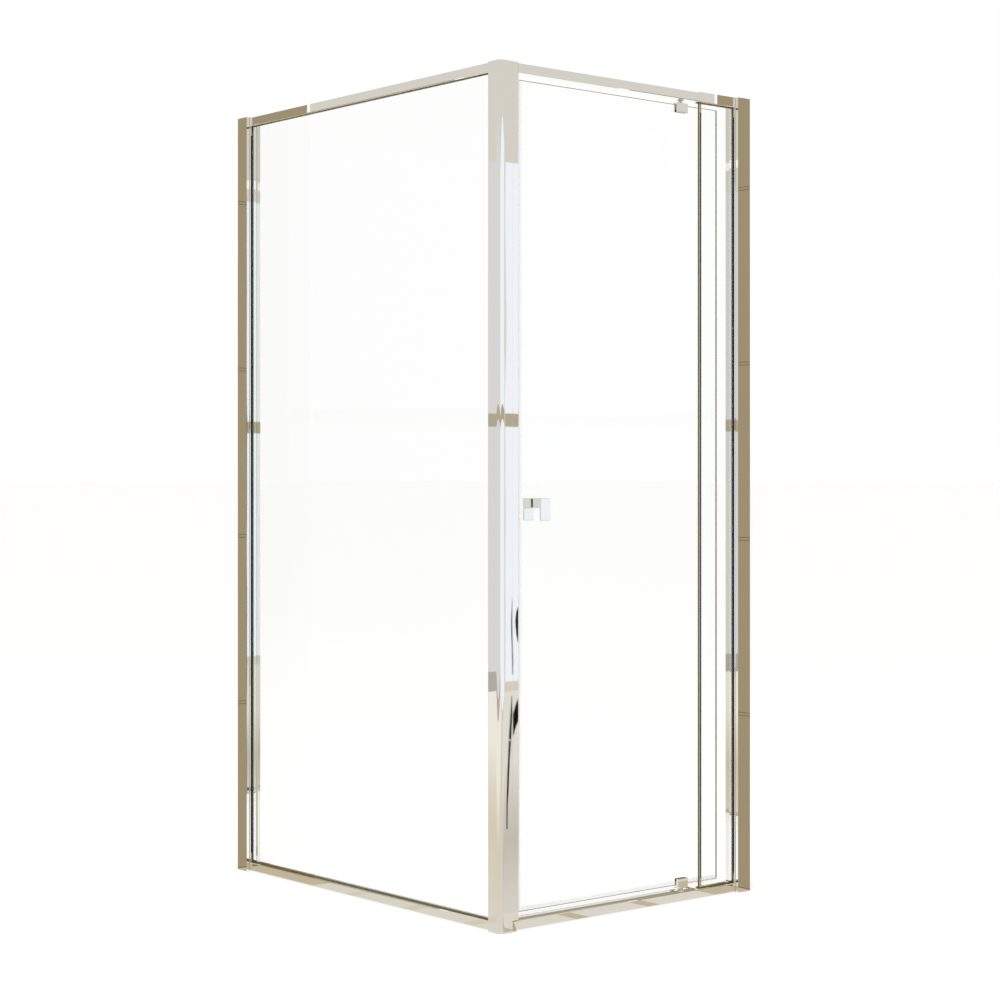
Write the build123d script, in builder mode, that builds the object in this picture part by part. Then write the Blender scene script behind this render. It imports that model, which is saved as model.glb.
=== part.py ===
"""Corner shower screen: a fixed side panel, a corner post, a pivot door and a fixed inline panel.

The frame is set on the corner post: the origin is the centre of its foot, +Z is up, the front with
the door runs along +X and the side panel along +Y. Millimetres.
"""
import os

from build123d import *

os.makedirs("parts", exist_ok=True)

# Overall sizes
screen_height = 1850.0
front_width = 760.0
side_width = 1000.0

# Walls, fits and clearances shared by the extrusions
extrusion_wall = 1.8
fit_gap = 0.05
seat_gap = 0.2
overrun = 1.0
edge_bevel = 1.2

# Wall channels
channel_width = 42.0
channel_depth = 36.0
channel_wall = 1.6
channel_flank = 6.0
channel_bend_radius = 3.0
channel_top_rounding = 4.0
channel_foot_rounding = 2.5
slide_gap = 0.4
wall_hole_radius = 3.0
wall_hole_pitch = 500.0
wall_holes = 4

# Corner post
post_width = 36.0
post_depth = 40.0
post_corner_radius = 12.0
post_edge_radius = 1.5
post_pocket_depth = 14.0
post_glass_gap = 4.0
post_cap_thickness = 1.5
post_plug_depth = 10.0

# Glass and glazing
glass_thickness = 6.0
glass_arris = 0.5
outer_leg = 3.0
inner_leg = 2.0
gasket_thickness = 2.0
outer_gasket_show = 1.0
inner_gasket_show = 2.0
gasket_recess = 2.0
gasket_end_gap = 1.0
setting_height = 2.0
setting_length = 80.0
setting_place_shares = (0.2, 0.8)

# Rails
rail_height = 22.0
rail_pocket = 10.0
rail_lip = 5.0
rail_end_gap = 0.5
header_height = 20.0
header_drop = 2.0
top_lip = 2.0
inline_head_height = 23.0
inline_width = 160.0

# Jambs
jamb_tongue = 15.0
jamb_body = 24.0
jamb_pocket = 12.0
jamb_inner_leg = 7.0
jamb_bevel = 1.0
jamb_glass_gap = 2.0
jamb_reveal = 2.0
plug_depth = 8.0
plug_sink = 1.0

# Screws
screw_radius = 1.95
screw_hole_radius = 2.1
screw_head_radius = 3.5
screw_head_height = 2.2
fixing_place = 18.0
fixing_length = 10.0
fixing_height_shares = (0.12, 0.5, 0.88)
cover_radius = 6.0
cover_height = 4.2
cover_wall = 1.3
cover_rounding = 1.0
strike_screw_depth = 28.0
strike_screw_bite = 8.0
strike_screw_height_shares = (0.14, 0.38, 0.62, 0.86)

# Connectors inside the rails
connector_reach = 30.0
connector_screw_place = 15.0
connector_screw_length = 8.0
joiner_length = 50.0
header_screw_bite = 6.0
header_screw_spread = 9.0

# Strike jamb beside the post
strike_width = 18.0
strike_inset = 1.0
strike_edge_radius = 2.0
strike_pad_height = 2.0
strike_seal_width = 8.0
strike_seal_thickness = 4.0
strike_groove_width = 4.0
strike_groove_depth = 4.0

# Sill
sill_upstand_rise = 2.0
sill_upstand_thickness = 2.0
sill_cut_top = 4.0
sill_cut_foot = 13.0
sill_spigot_length = 32.0

# Pivots
pivot_setback = 46.0
pivot_radius = 4.0
running_gap = 0.05
bush_radius = 6.0
bush_flange_radius = 7.0
header_flange = 1.5
sill_flange = 1.5
bush_end_gap = 1.0
bush_depth = 14.0
sill_bush_depth = 17.0
carrier_length = 40.0
collar_radius = 5.0
collar_gap = 0.3

# Pivot door
door_seal_gap = 0.5
door_seal_nose = 2.5
door_seal_base = 1.9
door_seal_reach = 10.0
door_seal_magnet = 5.0
seal_wall = 1.2
seal_fit = 0.1
door_lap = 67.5
door_foot_gap = 15.0
door_head_gap = 12.0

# Pivot clamps
clamp_width = 33.0
clamp_height = 22.0
clamp_plate = 4.5
clamp_gasket = 0.5
clamp_bevel = 0.8
clamp_drop = 8.0
clamp_rise = 5.0
notch_width = 22.0
notch_depth = 12.0
notch_gap = 0.3
clamp_pin_depth = 11.0
clamp_screw_radius = 2.0
clamp_screw_head_radius = 3.2
clamp_screw_head_height = 2.0
clamp_screw_spread = 7.5
clamp_screw_bite = 3.0

# Handles
handle_width = 27.0
handle_height = 48.0
handle_plate = 5.0
handle_reach = 23.0
handle_stem_height = 21.0
handle_inset = 41.0
handle_top = 921.0
handle_edge_radius = 1.0
handle_bolt_radius = 4.0
handle_bolt_bite = 8.0
handle_bolt_end_gap = 0.5
handle_hole_radius = 6.0
washer_radius = 9.0
washer_thickness = 1.0

# Drip seal and the inline panel's edge seal
drip_leg_height = 10.0
drip_wall = 0.8
drip_base = 4.0
drip_fin_root = 3.0
drip_fin_tip = 1.5
drip_fin_lean = 3.0
drip_fin_gap = 2.0
drip_margin = 2.0
drip_pivot_gap = 20.0
drip_short_fin = 3.0
drip_short_end_gap = 2.5
edge_seal_inset = 6.5
edge_seal_width = 4.0
edge_seal_gap = 1.2
edge_seal_end_gap = 0.3
inline_glass_setback = 4.0

# Depths, measured inwards from the outer face of each side
frame_outer = channel_wall + slide_gap
frame_inner = channel_depth - frame_outer
pocket_outer = frame_outer + outer_leg
fixed_glass_outer = pocket_outer + gasket_thickness
fixed_glass_inner = fixed_glass_outer + glass_thickness
pocket_inner = fixed_glass_inner + gasket_thickness
leg_inner = pocket_inner + inner_leg
jamb_inner = pocket_inner + jamb_inner_leg
door_depth = channel_depth / 2
door_glass_outer = door_depth - glass_thickness / 2
door_glass_inner = door_depth + glass_thickness / 2

# Heights above the tray
header_top = screen_height - header_drop
header_underside = header_top - header_height
inline_head_underside = screen_height - inline_head_height
rail_floor = rail_height - rail_pocket
fixed_glass_foot = rail_floor + setting_height
side_glass_top = header_underside + rail_pocket - setting_height
inline_glass_top = inline_head_underside + rail_pocket - setting_height
door_glass_foot = rail_height + door_foot_gap
door_glass_top = header_underside - door_head_gap
strike_foot = rail_height + strike_pad_height
fixing_heights = [share * screen_height for share in fixing_height_shares]
strike_screw_heights = [share * screen_height for share in strike_screw_height_shares]
wall_hole_heights = [
    screen_height / 2 + (place - (wall_holes - 1) / 2) * wall_hole_pitch for place in range(wall_holes)
]

# Places along the sides, measured from the outer corner
rail_joint = front_width - inline_width
pivot_place = rail_joint - pivot_setback
side_leg_end = side_width - channel_width - jamb_reveal
inline_leg_end = front_width - channel_width - jamb_reveal
side_glass_start = post_depth - post_pocket_depth + post_glass_gap
side_glass_end = side_leg_end + jamb_pocket - jamb_glass_gap
inline_glass_start = rail_joint + inline_glass_setback
inline_glass_end = inline_leg_end + jamb_pocket - jamb_glass_gap
side_rail_end = side_width - extrusion_wall - rail_end_gap
inline_rail_end = front_width - extrusion_wall - rail_end_gap
strike_face = post_width + strike_width
door_seal_start = strike_face + strike_seal_thickness + door_seal_gap
door_glass_start = door_seal_start + door_seal_nose + door_seal_base + seal_fit
door_glass_end = rail_joint + door_lap
handle_start = door_glass_start + handle_inset
handle_middle = handle_start + handle_width / 2
handle_stem_foot = handle_top - handle_stem_height
handle_bolt_height = handle_top - handle_stem_height / 2

corner = Vector(-post_width / 2, -post_depth / 2, 0)
upwards = Vector(0, 0, 1)
from_corner = (Align.MIN, Align.MIN)
from_low_corner = (Align.MIN, Align.MIN, Align.MIN)
from_end = (Align.CENTER, Align.CENTER, Align.MIN)


class Run:
    """One straight side of the screen: places go along it, inwards from its outer face, and up."""

    def __init__(self, along, inward):
        self.along = Vector(along)
        self.inward = Vector(inward)
        self.turn = self.along.cross(self.inward).Z

    def at(self, place, depth, height):
        """The point at a place along the run, a depth and a height."""
        return corner + self.along * place + self.inward * depth + upwards * height

    def plan(self, height):
        """Plane seen from above: local x runs along, local y inwards."""
        return Plane(self.at(0, 0, height), x_dir=self.along, z_dir=upwards * self.turn)

    def section(self, place):
        """Plane across the run: local x runs inwards, local y upwards."""
        return Plane(self.at(place, 0, 0), x_dir=self.inward, z_dir=self.along * self.turn)

    def elevation(self, depth):
        """Plane along the run: local x runs along, local y upwards."""
        return Plane(self.at(0, depth, 0), x_dir=self.along, z_dir=self.inward * -self.turn)

    def forwards(self, length):
        """The amount that extrudes a plan upwards or a section along the run."""
        return self.turn * length

    def inwards(self, length):
        """The amount that extrudes an elevation inwards."""
        return -self.turn * length


front = Run(along=(1, 0, 0), inward=(0, 1, 0))
side = Run(along=(0, 1, 0), inward=(1, 0, 0))


def block(run, places, depths, heights, mode=Mode.ADD):
    """Put a block between two places along a run, two depths and two heights."""
    start, end = sorted(places)
    near, far = sorted(depths)
    low, high = sorted(heights)
    size = run.along * (end - start) + run.inward * (far - near)
    with Locations(run.at(start, near, low)):
        Box(size.X, size.Y, high - low, align=from_low_corner, mode=mode)


def rod(start, direction, radius, length, mode=Mode.ADD):
    """Put a round rod, or cut a round hole, from a point in a direction."""
    with Locations(Plane(start, z_dir=direction)):
        Cylinder(radius, length, align=from_end, mode=mode)


def pan_screw(seat, direction, length):
    """Put a pan-head screw: the head seats on a face at the point, the shank runs on from it."""
    rod(seat, direction * -1, screw_head_radius, screw_head_height)
    rod(seat, direction, screw_radius, length)


def pane(run, places, outer, heights):
    """A pane of toughened glass with its edges arrised."""
    with BuildPart() as glass:
        block(run, places, (outer, outer + glass_thickness), heights)
        chamfer(glass.edges(), glass_arris)
    return glass


def wall_channel(run, width):
    """A U extrusion with its web on the wall and a hollow flank that stands proud of the rails."""
    start = width - channel_width
    with BuildPart() as channel:
        with BuildSketch(run.plan(0)) as profile:
            with Locations((start, -channel_flank)):
                Rectangle(channel_width, channel_flank + channel_depth, align=from_corner)
            fillet(profile.vertices().group_by(Axis.X)[-1], channel_bend_radius)
            with Locations((start + channel_wall, channel_wall - channel_flank)):
                Rectangle(
                    channel_width - channel_wall - extrusion_wall,
                    channel_flank - channel_wall,
                    align=from_corner,
                    mode=Mode.SUBTRACT,
                )
            with Locations((start, channel_wall)):
                Rectangle(
                    channel_width - extrusion_wall,
                    channel_depth - 2 * channel_wall,
                    align=from_corner,
                    mode=Mode.SUBTRACT,
                )
        extrude(amount=run.forwards(screen_height))
        with BuildSketch(run.elevation(-channel_flank)) as outline:
            with Locations((start, 0)):
                Rectangle(channel_width, screen_height, align=from_corner)
            fillet(outline.vertices().group_by(Axis.X)[-1].sort_by(Axis.Y)[-1], channel_top_rounding)
            fillet(outline.vertices().group_by(Axis.X)[-1].sort_by(Axis.Y)[0], channel_foot_rounding)
        extrude(amount=run.inwards(channel_flank + channel_depth), mode=Mode.INTERSECT)
        for height in wall_hole_heights:
            web = run.at(width - extrusion_wall - overrun, channel_depth / 2, height)
            rod(web, run.along, wall_hole_radius, extrusion_wall + 2 * overrun, Mode.SUBTRACT)
        for height in fixing_heights:
            leg = run.at(start + fixing_place, channel_depth + overrun, height)
            rod(leg, -run.inward, screw_hole_radius, channel_wall + 2 * overrun, Mode.SUBTRACT)
    return channel


def jamb(run, leg_end, width):
    """The hollow extrusion that slides in a wall channel, with a glazing pocket between its legs."""
    body_start = leg_end + jamb_tongue
    body_end = body_start + jamb_body
    pocket_floor = leg_end + jamb_pocket
    with BuildPart() as upright:
        with BuildSketch(run.plan(rail_height)):
            with BuildLine():
                Polyline(
                    (leg_end, frame_outer + jamb_bevel),
                    (leg_end + jamb_bevel, frame_outer),
                    (body_end, frame_outer),
                    (body_end, frame_inner),
                    (body_start, frame_inner),
                    (body_start, jamb_inner),
                    (leg_end, jamb_inner),
                    (leg_end, pocket_inner),
                    (pocket_floor, pocket_inner),
                    (pocket_floor, pocket_outer),
                    (leg_end, pocket_outer),
                    close=True,
                )
            make_face()
            with BuildLine():
                Polyline(
                    (pocket_floor + extrusion_wall, frame_outer + extrusion_wall),
                    (body_end - extrusion_wall, frame_outer + extrusion_wall),
                    (body_end - extrusion_wall, frame_inner - extrusion_wall),
                    (body_start + extrusion_wall, frame_inner - extrusion_wall),
                    (body_start + extrusion_wall, jamb_inner - extrusion_wall),
                    (leg_end + extrusion_wall, jamb_inner - extrusion_wall),
                    (leg_end + extrusion_wall, pocket_inner + extrusion_wall),
                    (pocket_floor + extrusion_wall, pocket_inner + extrusion_wall),
                    close=True,
                )
            make_face(mode=Mode.SUBTRACT)
        extrude(amount=run.forwards(screen_height - rail_height))
        for height in fixing_heights:
            wall = run.at(width - channel_width + fixing_place, frame_inner + overrun, height)
            rod(wall, -run.inward, screw_radius + fit_gap, extrusion_wall + 2 * overrun, Mode.SUBTRACT)
    return upright


def glazing_rail(run, places, base, glass_side, lip, screws):
    """A rail that grips the glass in a pocket, with a closed chamber between the pocket and its base.

    The pocket opens at the rail's glass side, and the inner leg reaches past that by the lip. Each
    screw hole is given by its place along the rail.
    """
    facing = 1 if glass_side > base else -1
    floor = glass_side - facing * rail_pocket
    lip_tip = glass_side + facing * lip
    chamber = (base + facing * extrusion_wall, floor - facing * extrusion_wall)
    start, end = places
    with BuildPart() as rail:
        with BuildSketch(run.section(start)):
            with BuildLine():
                Polyline(
                    (frame_outer, base),
                    (frame_outer, glass_side - facing * edge_bevel),
                    (frame_outer + edge_bevel, glass_side),
                    (pocket_outer, glass_side),
                    (pocket_outer, floor),
                    (pocket_inner, floor),
                    (pocket_inner, lip_tip),
                    (leg_inner, lip_tip),
                    (leg_inner, base),
                    close=True,
                )
            make_face()
        extrude(amount=run.forwards(end - start))
        block(
            run,
            (start - overrun, end + overrun),
            (frame_outer + extrusion_wall, leg_inner - extrusion_wall),
            chamber,
            Mode.SUBTRACT,
        )
        for place in screws:
            face = run.at(place, leg_inner + overrun, sum(chamber) / 2)
            rod(face, -run.inward, screw_hole_radius, extrusion_wall + 2 * overrun, Mode.SUBTRACT)
    return rail


def gasket(run, depth, outer_places, inner_places, outer_heights, inner_heights):
    """A glazing gasket that runs round a pane between its face and the legs of the pocket."""
    with BuildPart() as strip:
        block(run, outer_places, (depth, depth + gasket_thickness), outer_heights)
        inner_depths = (depth - overrun, depth + gasket_thickness + overrun)
        block(run, inner_places, inner_depths, inner_heights, Mode.SUBTRACT)
    return strip


def post_outline():
    """The post's plan, with the large radius on its outer corner."""
    with BuildSketch() as outline:
        Rectangle(post_width, post_depth, align=from_corner)
        ordered = outline.vertices().sort_by(lambda vertex: vertex.X + vertex.Y)
        fillet(ordered[0], post_corner_radius)
        ordered = outline.vertices().sort_by(lambda vertex: vertex.X + vertex.Y)
        fillet(ordered[2:], post_edge_radius)
        with Locations((pocket_outer, post_depth - post_pocket_depth)):
            Rectangle(
                pocket_inner - pocket_outer, post_pocket_depth, align=from_corner, mode=Mode.SUBTRACT
            )
    return outline.sketch


def post_cavity(gap):
    """The hollow inside the post, drawn in by a gap for the plugs that fit it."""
    near = extrusion_wall + gap
    right = post_width - extrusion_wall - gap
    back = post_depth - extrusion_wall - gap
    pocket_side = pocket_inner + extrusion_wall + gap
    pocket_back = post_depth - post_pocket_depth - extrusion_wall - gap
    with BuildSketch() as cavity:
        with BuildLine():
            Polyline(
                (near, near),
                (right, near),
                (right, back),
                (pocket_side, back),
                (pocket_side, pocket_back),
                (near, pocket_back),
                close=True,
            )
        make_face()
        outer = cavity.vertices().sort_by(lambda vertex: vertex.X + vertex.Y)[0]
        fillet(outer, post_corner_radius - extrusion_wall - gap)
    return cavity.sketch


def post_cap(plate_foot, plug_foot):
    """An end cap with the post's outline and a plug that fits its hollow."""
    with BuildPart() as cap:
        with BuildSketch(front.plan(plate_foot)):
            add(post_outline())
        extrude(amount=post_cap_thickness)
        with BuildSketch(front.plan(plug_foot)):
            add(post_cavity(seat_gap))
        extrude(amount=post_plug_depth)
    return cap


# Corner post and its end caps
with BuildPart() as corner_post:
    with BuildSketch(front.plan(post_cap_thickness)):
        add(post_outline())
        add(post_cavity(0), mode=Mode.SUBTRACT)
    extrude(amount=screen_height - 2 * post_cap_thickness)
    for height in strike_screw_heights:
        wall = front.at(post_width + overrun, strike_screw_depth, height)
        rod(wall, -front.along, screw_radius + fit_gap, extrusion_wall + 2 * overrun, Mode.SUBTRACT)
corner_post.part.label = "corner_post"
export_step(corner_post.part, "parts/corner_post.step")

post_top_cap = post_cap(
    screen_height - post_cap_thickness, screen_height - post_cap_thickness - post_plug_depth
)
post_top_cap.part.label = "post_top_cap"
export_step(post_top_cap.part, "parts/post_top_cap.step")

post_foot_cap = post_cap(0, post_cap_thickness)
post_foot_cap.part.label = "post_foot_cap"
export_step(post_foot_cap.part, "parts/post_foot_cap.step")

# Wall channels
side_wall_channel = wall_channel(side, side_width)
side_wall_channel.part.label = "side_wall_channel"
export_step(side_wall_channel.part, "parts/side_wall_channel.step")

front_wall_channel = wall_channel(front, front_width)
front_wall_channel.part.label = "front_wall_channel"
export_step(front_wall_channel.part, "parts/front_wall_channel.step")

# Jambs that slide in the wall channels
side_jamb = jamb(side, side_leg_end, side_width)
side_jamb.part.label = "side_jamb"
export_step(side_jamb.part, "parts/side_jamb.step")

inline_jamb = jamb(front, inline_leg_end, front_width)
inline_jamb.part.label = "inline_jamb"
export_step(inline_jamb.part, "parts/inline_jamb.step")

# Plugs in the top of the jambs, and in the gap between each jamb and its wall channel
with BuildPart() as jamb_plugs:
    for run, leg_end in ((side, side_leg_end), (front, inline_leg_end)):
        inset = extrusion_wall + seat_gap
        block(
            run,
            (leg_end + jamb_tongue + inset, leg_end + jamb_tongue + jamb_body - inset),
            (frame_outer + inset, frame_inner - inset),
            (screen_height - plug_depth, screen_height),
        )
jamb_plugs.part.label = "jamb_plugs"
export_step(jamb_plugs.part, "parts/jamb_plugs.step")

with BuildPart() as channel_plugs:
    for run, leg_end, width in ((side, side_leg_end, side_width), (front, inline_leg_end, front_width)):
        block(
            run,
            (leg_end + jamb_tongue + jamb_body + seat_gap, width - extrusion_wall - seat_gap),
            (frame_outer, frame_inner),
            (screen_height - plug_depth, screen_height - plug_sink),
        )
channel_plugs.part.label = "channel_plugs"
export_step(channel_plugs.part, "parts/channel_plugs.step")

# Screws that lock the jambs in the wall channels, and the snap covers over their heads
for run, width, prefix in ((side, side_width, "side"), (front, front_width, "front")):
    with BuildPart() as fixing_screws:
        for height in fixing_heights:
            seat = run.at(width - channel_width + fixing_place, channel_depth, height)
            pan_screw(seat, -run.inward, fixing_length)
    fixing_screws.part.label = f"{prefix}_fixing_screws"
    export_step(fixing_screws.part, f"parts/{prefix}_fixing_screws.step")

    with BuildPart() as screw_covers:
        for height in fixing_heights:
            seat = run.at(width - channel_width + fixing_place, channel_depth, height)
            rod(seat, run.inward, cover_radius, cover_height)
        domes = screw_covers.edges().filter_by(GeomType.CIRCLE)
        tops = domes.sort_by(lambda edge: edge.center().dot(run.inward))[len(fixing_heights):]
        fillet(tops, cover_rounding)
        for height in fixing_heights:
            seat = run.at(width - channel_width + fixing_place, channel_depth, height)
            rod(seat, run.inward, cover_radius - cover_wall, cover_height - cover_wall, Mode.SUBTRACT)
    screw_covers.part.label = f"{prefix}_screw_covers"
    export_step(screw_covers.part, f"parts/{prefix}_screw_covers.step")

# Side panel
side_top_screws = (post_depth + connector_screw_place, side_leg_end - connector_screw_place)
side_top_rail = glazing_rail(
    side, (post_depth, side_leg_end), header_top, header_underside, top_lip, side_top_screws
)
side_top_rail.part.label = "side_top_rail"
export_step(side_top_rail.part, "parts/side_top_rail.step")

side_foot_screws = (post_depth + connector_screw_place,)
side_bottom_rail = glazing_rail(
    side, (post_depth, side_rail_end), 0, rail_height, rail_lip, side_foot_screws
)
with side_bottom_rail:
    block(
        side,
        (side_leg_end, side_width),
        (pocket_inner - overrun, leg_inner + overrun),
        (rail_height, rail_height + rail_lip + overrun),
        Mode.SUBTRACT,
    )
side_bottom_rail.part.label = "side_bottom_rail"
export_step(side_bottom_rail.part, "parts/side_bottom_rail.step")

side_glass = pane(
    side, (side_glass_start, side_glass_end), fixed_glass_outer, (fixed_glass_foot, side_glass_top)
)
side_glass.part.label = "side_glass"
export_step(side_glass.part, "parts/side_glass.step")

side_gasket_places = (
    post_depth - post_pocket_depth + gasket_end_gap,
    side_leg_end + jamb_pocket - gasket_end_gap,
)
side_gasket_heights = (rail_floor + gasket_end_gap, header_underside + rail_pocket - gasket_end_gap)
side_outer_gasket = gasket(
    side,
    pocket_outer,
    side_gasket_places,
    (post_depth + outer_gasket_show, side_leg_end - outer_gasket_show),
    side_gasket_heights,
    (rail_height - gasket_recess, header_underside + gasket_recess),
)
side_outer_gasket.part.label = "side_outer_gasket"
export_step(side_outer_gasket.part, "parts/side_outer_gasket.step")

side_inner_gasket = gasket(
    side,
    fixed_glass_inner,
    side_gasket_places,
    (post_depth + inner_gasket_show, side_leg_end - inner_gasket_show),
    side_gasket_heights,
    (rail_height - gasket_recess, header_underside + gasket_recess),
)
side_inner_gasket.part.label = "side_inner_gasket"
export_step(side_inner_gasket.part, "parts/side_inner_gasket.step")

# Strike jamb, which closes the front of the post and carries the seal that the door shuts against
groove_near = door_depth - strike_groove_width / 2
groove_far = door_depth + strike_groove_width / 2
groove_floor = strike_face - strike_groove_depth
strike_near = strike_inset
strike_far = channel_depth - strike_inset
with BuildPart() as strike_jamb:
    with BuildSketch(front.plan(strike_foot)) as profile:
        with Locations((post_width, strike_near)):
            Rectangle(strike_width, strike_far - strike_near, align=from_corner)
        fillet(profile.vertices().group_by(Axis.X)[-1], strike_edge_radius)
        with Locations((groove_floor, groove_near)):
            Rectangle(strike_groove_depth, strike_groove_width, align=from_corner, mode=Mode.SUBTRACT)
        with BuildLine():
            Polyline(
                (post_width + extrusion_wall, strike_near + extrusion_wall),
                (strike_face - extrusion_wall, strike_near + extrusion_wall),
                (strike_face - extrusion_wall, groove_near - extrusion_wall),
                (groove_floor - extrusion_wall, groove_near - extrusion_wall),
                (groove_floor - extrusion_wall, groove_far + extrusion_wall),
                (strike_face - extrusion_wall, groove_far + extrusion_wall),
                (strike_face - extrusion_wall, strike_far - extrusion_wall),
                (post_width + extrusion_wall, strike_far - extrusion_wall),
                close=True,
            )
        make_face(mode=Mode.SUBTRACT)
    extrude(amount=screen_height - strike_foot)
    for height in strike_screw_heights:
        face = front.at(strike_face + overrun, strike_screw_depth, height)
        rod(face, -front.along, screw_hole_radius, strike_width + 2 * overrun, Mode.SUBTRACT)
    for spread in (-header_screw_spread, header_screw_spread):
        face = front.at(strike_face + overrun, door_depth + spread, header_underside + header_height / 2)
        rod(face, -front.along, screw_radius + fit_gap, extrusion_wall + 2 * overrun, Mode.SUBTRACT)
strike_jamb.part.label = "strike_jamb"
export_step(strike_jamb.part, "parts/strike_jamb.step")

with BuildPart() as strike_jamb_plug:
    inset = extrusion_wall + seat_gap
    block(
        front,
        (post_width + inset, groove_floor - inset),
        (strike_near + inset, strike_far - inset),
        (screen_height - plug_depth, screen_height),
    )
strike_jamb_plug.part.label = "strike_jamb_plug"
export_step(strike_jamb_plug.part, "parts/strike_jamb_plug.step")

with BuildPart() as strike_foot_pad:
    block(
        front,
        (post_width, strike_face - strike_edge_radius),
        (frame_outer, frame_inner - sill_upstand_thickness - seat_gap),
        (rail_height, strike_foot),
    )
strike_foot_pad.part.label = "strike_foot_pad"
export_step(strike_foot_pad.part, "parts/strike_foot_pad.step")

with BuildPart() as strike_seal:
    block(
        front,
        (groove_floor + fit_gap, strike_face),
        (groove_near + fit_gap, groove_far - fit_gap),
        (strike_foot, header_underside),
    )
    block(
        front,
        (strike_face, strike_face + strike_seal_thickness),
        (door_depth - strike_seal_width / 2, door_depth + strike_seal_width / 2),
        (strike_foot, header_underside - seat_gap),
    )
strike_seal.part.label = "strike_seal"
export_step(strike_seal.part, "parts/strike_seal.step")

with BuildPart() as strike_jamb_screws:
    for height in strike_screw_heights:
        seat = front.at(strike_face, strike_screw_depth, height)
        pan_screw(seat, -front.along, strike_width + strike_screw_bite)
strike_jamb_screws.part.label = "strike_jamb_screws"
export_step(strike_jamb_screws.part, "parts/strike_jamb_screws.step")

# Door header, with its end connector, the joiner to the inline rail and the pivot's carrier
pivot_header = front.at(pivot_place, door_depth, header_underside)
with BuildPart() as door_header:
    with BuildSketch(front.section(strike_face)):
        with BuildLine():
            Polyline(
                (frame_outer, header_top),
                (frame_outer, header_underside + edge_bevel),
                (frame_outer + edge_bevel, header_underside),
                (frame_inner, header_underside),
                (frame_inner, header_top),
                close=True,
            )
        make_face()
    extrude(amount=rail_joint - strike_face)
    block(
        front,
        (strike_face - overrun, rail_joint + overrun),
        (frame_outer + extrusion_wall, frame_inner - extrusion_wall),
        (header_underside + extrusion_wall, header_top - extrusion_wall),
        Mode.SUBTRACT,
    )
    bush_hole = pivot_header - upwards * overrun
    rod(bush_hole, upwards, bush_radius + fit_gap, extrusion_wall + 2 * overrun, Mode.SUBTRACT)
door_header.part.label = "door_header"
export_step(door_header.part, "parts/door_header.step")

chamber_inset = extrusion_wall + seat_gap
header_chamber_depths = (frame_outer + chamber_inset, frame_inner - chamber_inset)
header_chamber_heights = (header_underside + chamber_inset, header_top - chamber_inset)
header_screw_height = header_underside + header_height / 2
header_screw_seats = [
    front.at(strike_face + connector_reach, door_depth + spread, header_screw_height)
    for spread in (-header_screw_spread, header_screw_spread)
]
with BuildPart() as header_connector:
    block(
        front,
        (strike_face, strike_face + connector_reach),
        header_chamber_depths,
        header_chamber_heights,
    )
    for seat in header_screw_seats:
        rod(seat, -front.along, screw_radius + fit_gap, connector_reach, Mode.SUBTRACT)
header_connector.part.label = "header_connector"
export_step(header_connector.part, "parts/header_connector.step")

with BuildPart() as header_connector_screws:
    for seat in header_screw_seats:
        pan_screw(seat, -front.along, connector_reach + header_screw_bite)
header_connector_screws.part.label = "header_connector_screws"
export_step(header_connector_screws.part, "parts/header_connector_screws.step")

joiner_places = (rail_joint - joiner_length / 2, rail_joint + joiner_length / 2)
joiner_depths = (frame_outer + chamber_inset, leg_inner - chamber_inset)
with BuildPart() as header_joiner:
    joiner_foot = inline_head_underside + rail_pocket + chamber_inset
    block(front, joiner_places, joiner_depths, (joiner_foot, header_top - chamber_inset))
header_joiner.part.label = "header_joiner"
export_step(header_joiner.part, "parts/header_joiner.step")

carrier_places = (pivot_place - carrier_length / 2, pivot_place + carrier_length / 2)
with BuildPart() as header_pivot_carrier:
    block(front, carrier_places, header_chamber_depths, header_chamber_heights)
    rod(pivot_header, upwards, bush_radius + fit_gap, header_height, Mode.SUBTRACT)
header_pivot_carrier.part.label = "header_pivot_carrier"
export_step(header_pivot_carrier.part, "parts/header_pivot_carrier.step")

with BuildPart() as header_pivot_bush:
    rod(pivot_header, -upwards, bush_flange_radius, header_flange)
    rod(pivot_header, upwards, bush_radius, bush_depth)
    bore_start = pivot_header - upwards * header_flange
    rod(bore_start, upwards, pivot_radius + running_gap, header_flange + bush_depth, Mode.SUBTRACT)
header_pivot_bush.part.label = "header_pivot_bush"
export_step(header_pivot_bush.part, "parts/header_pivot_bush.step")

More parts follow.
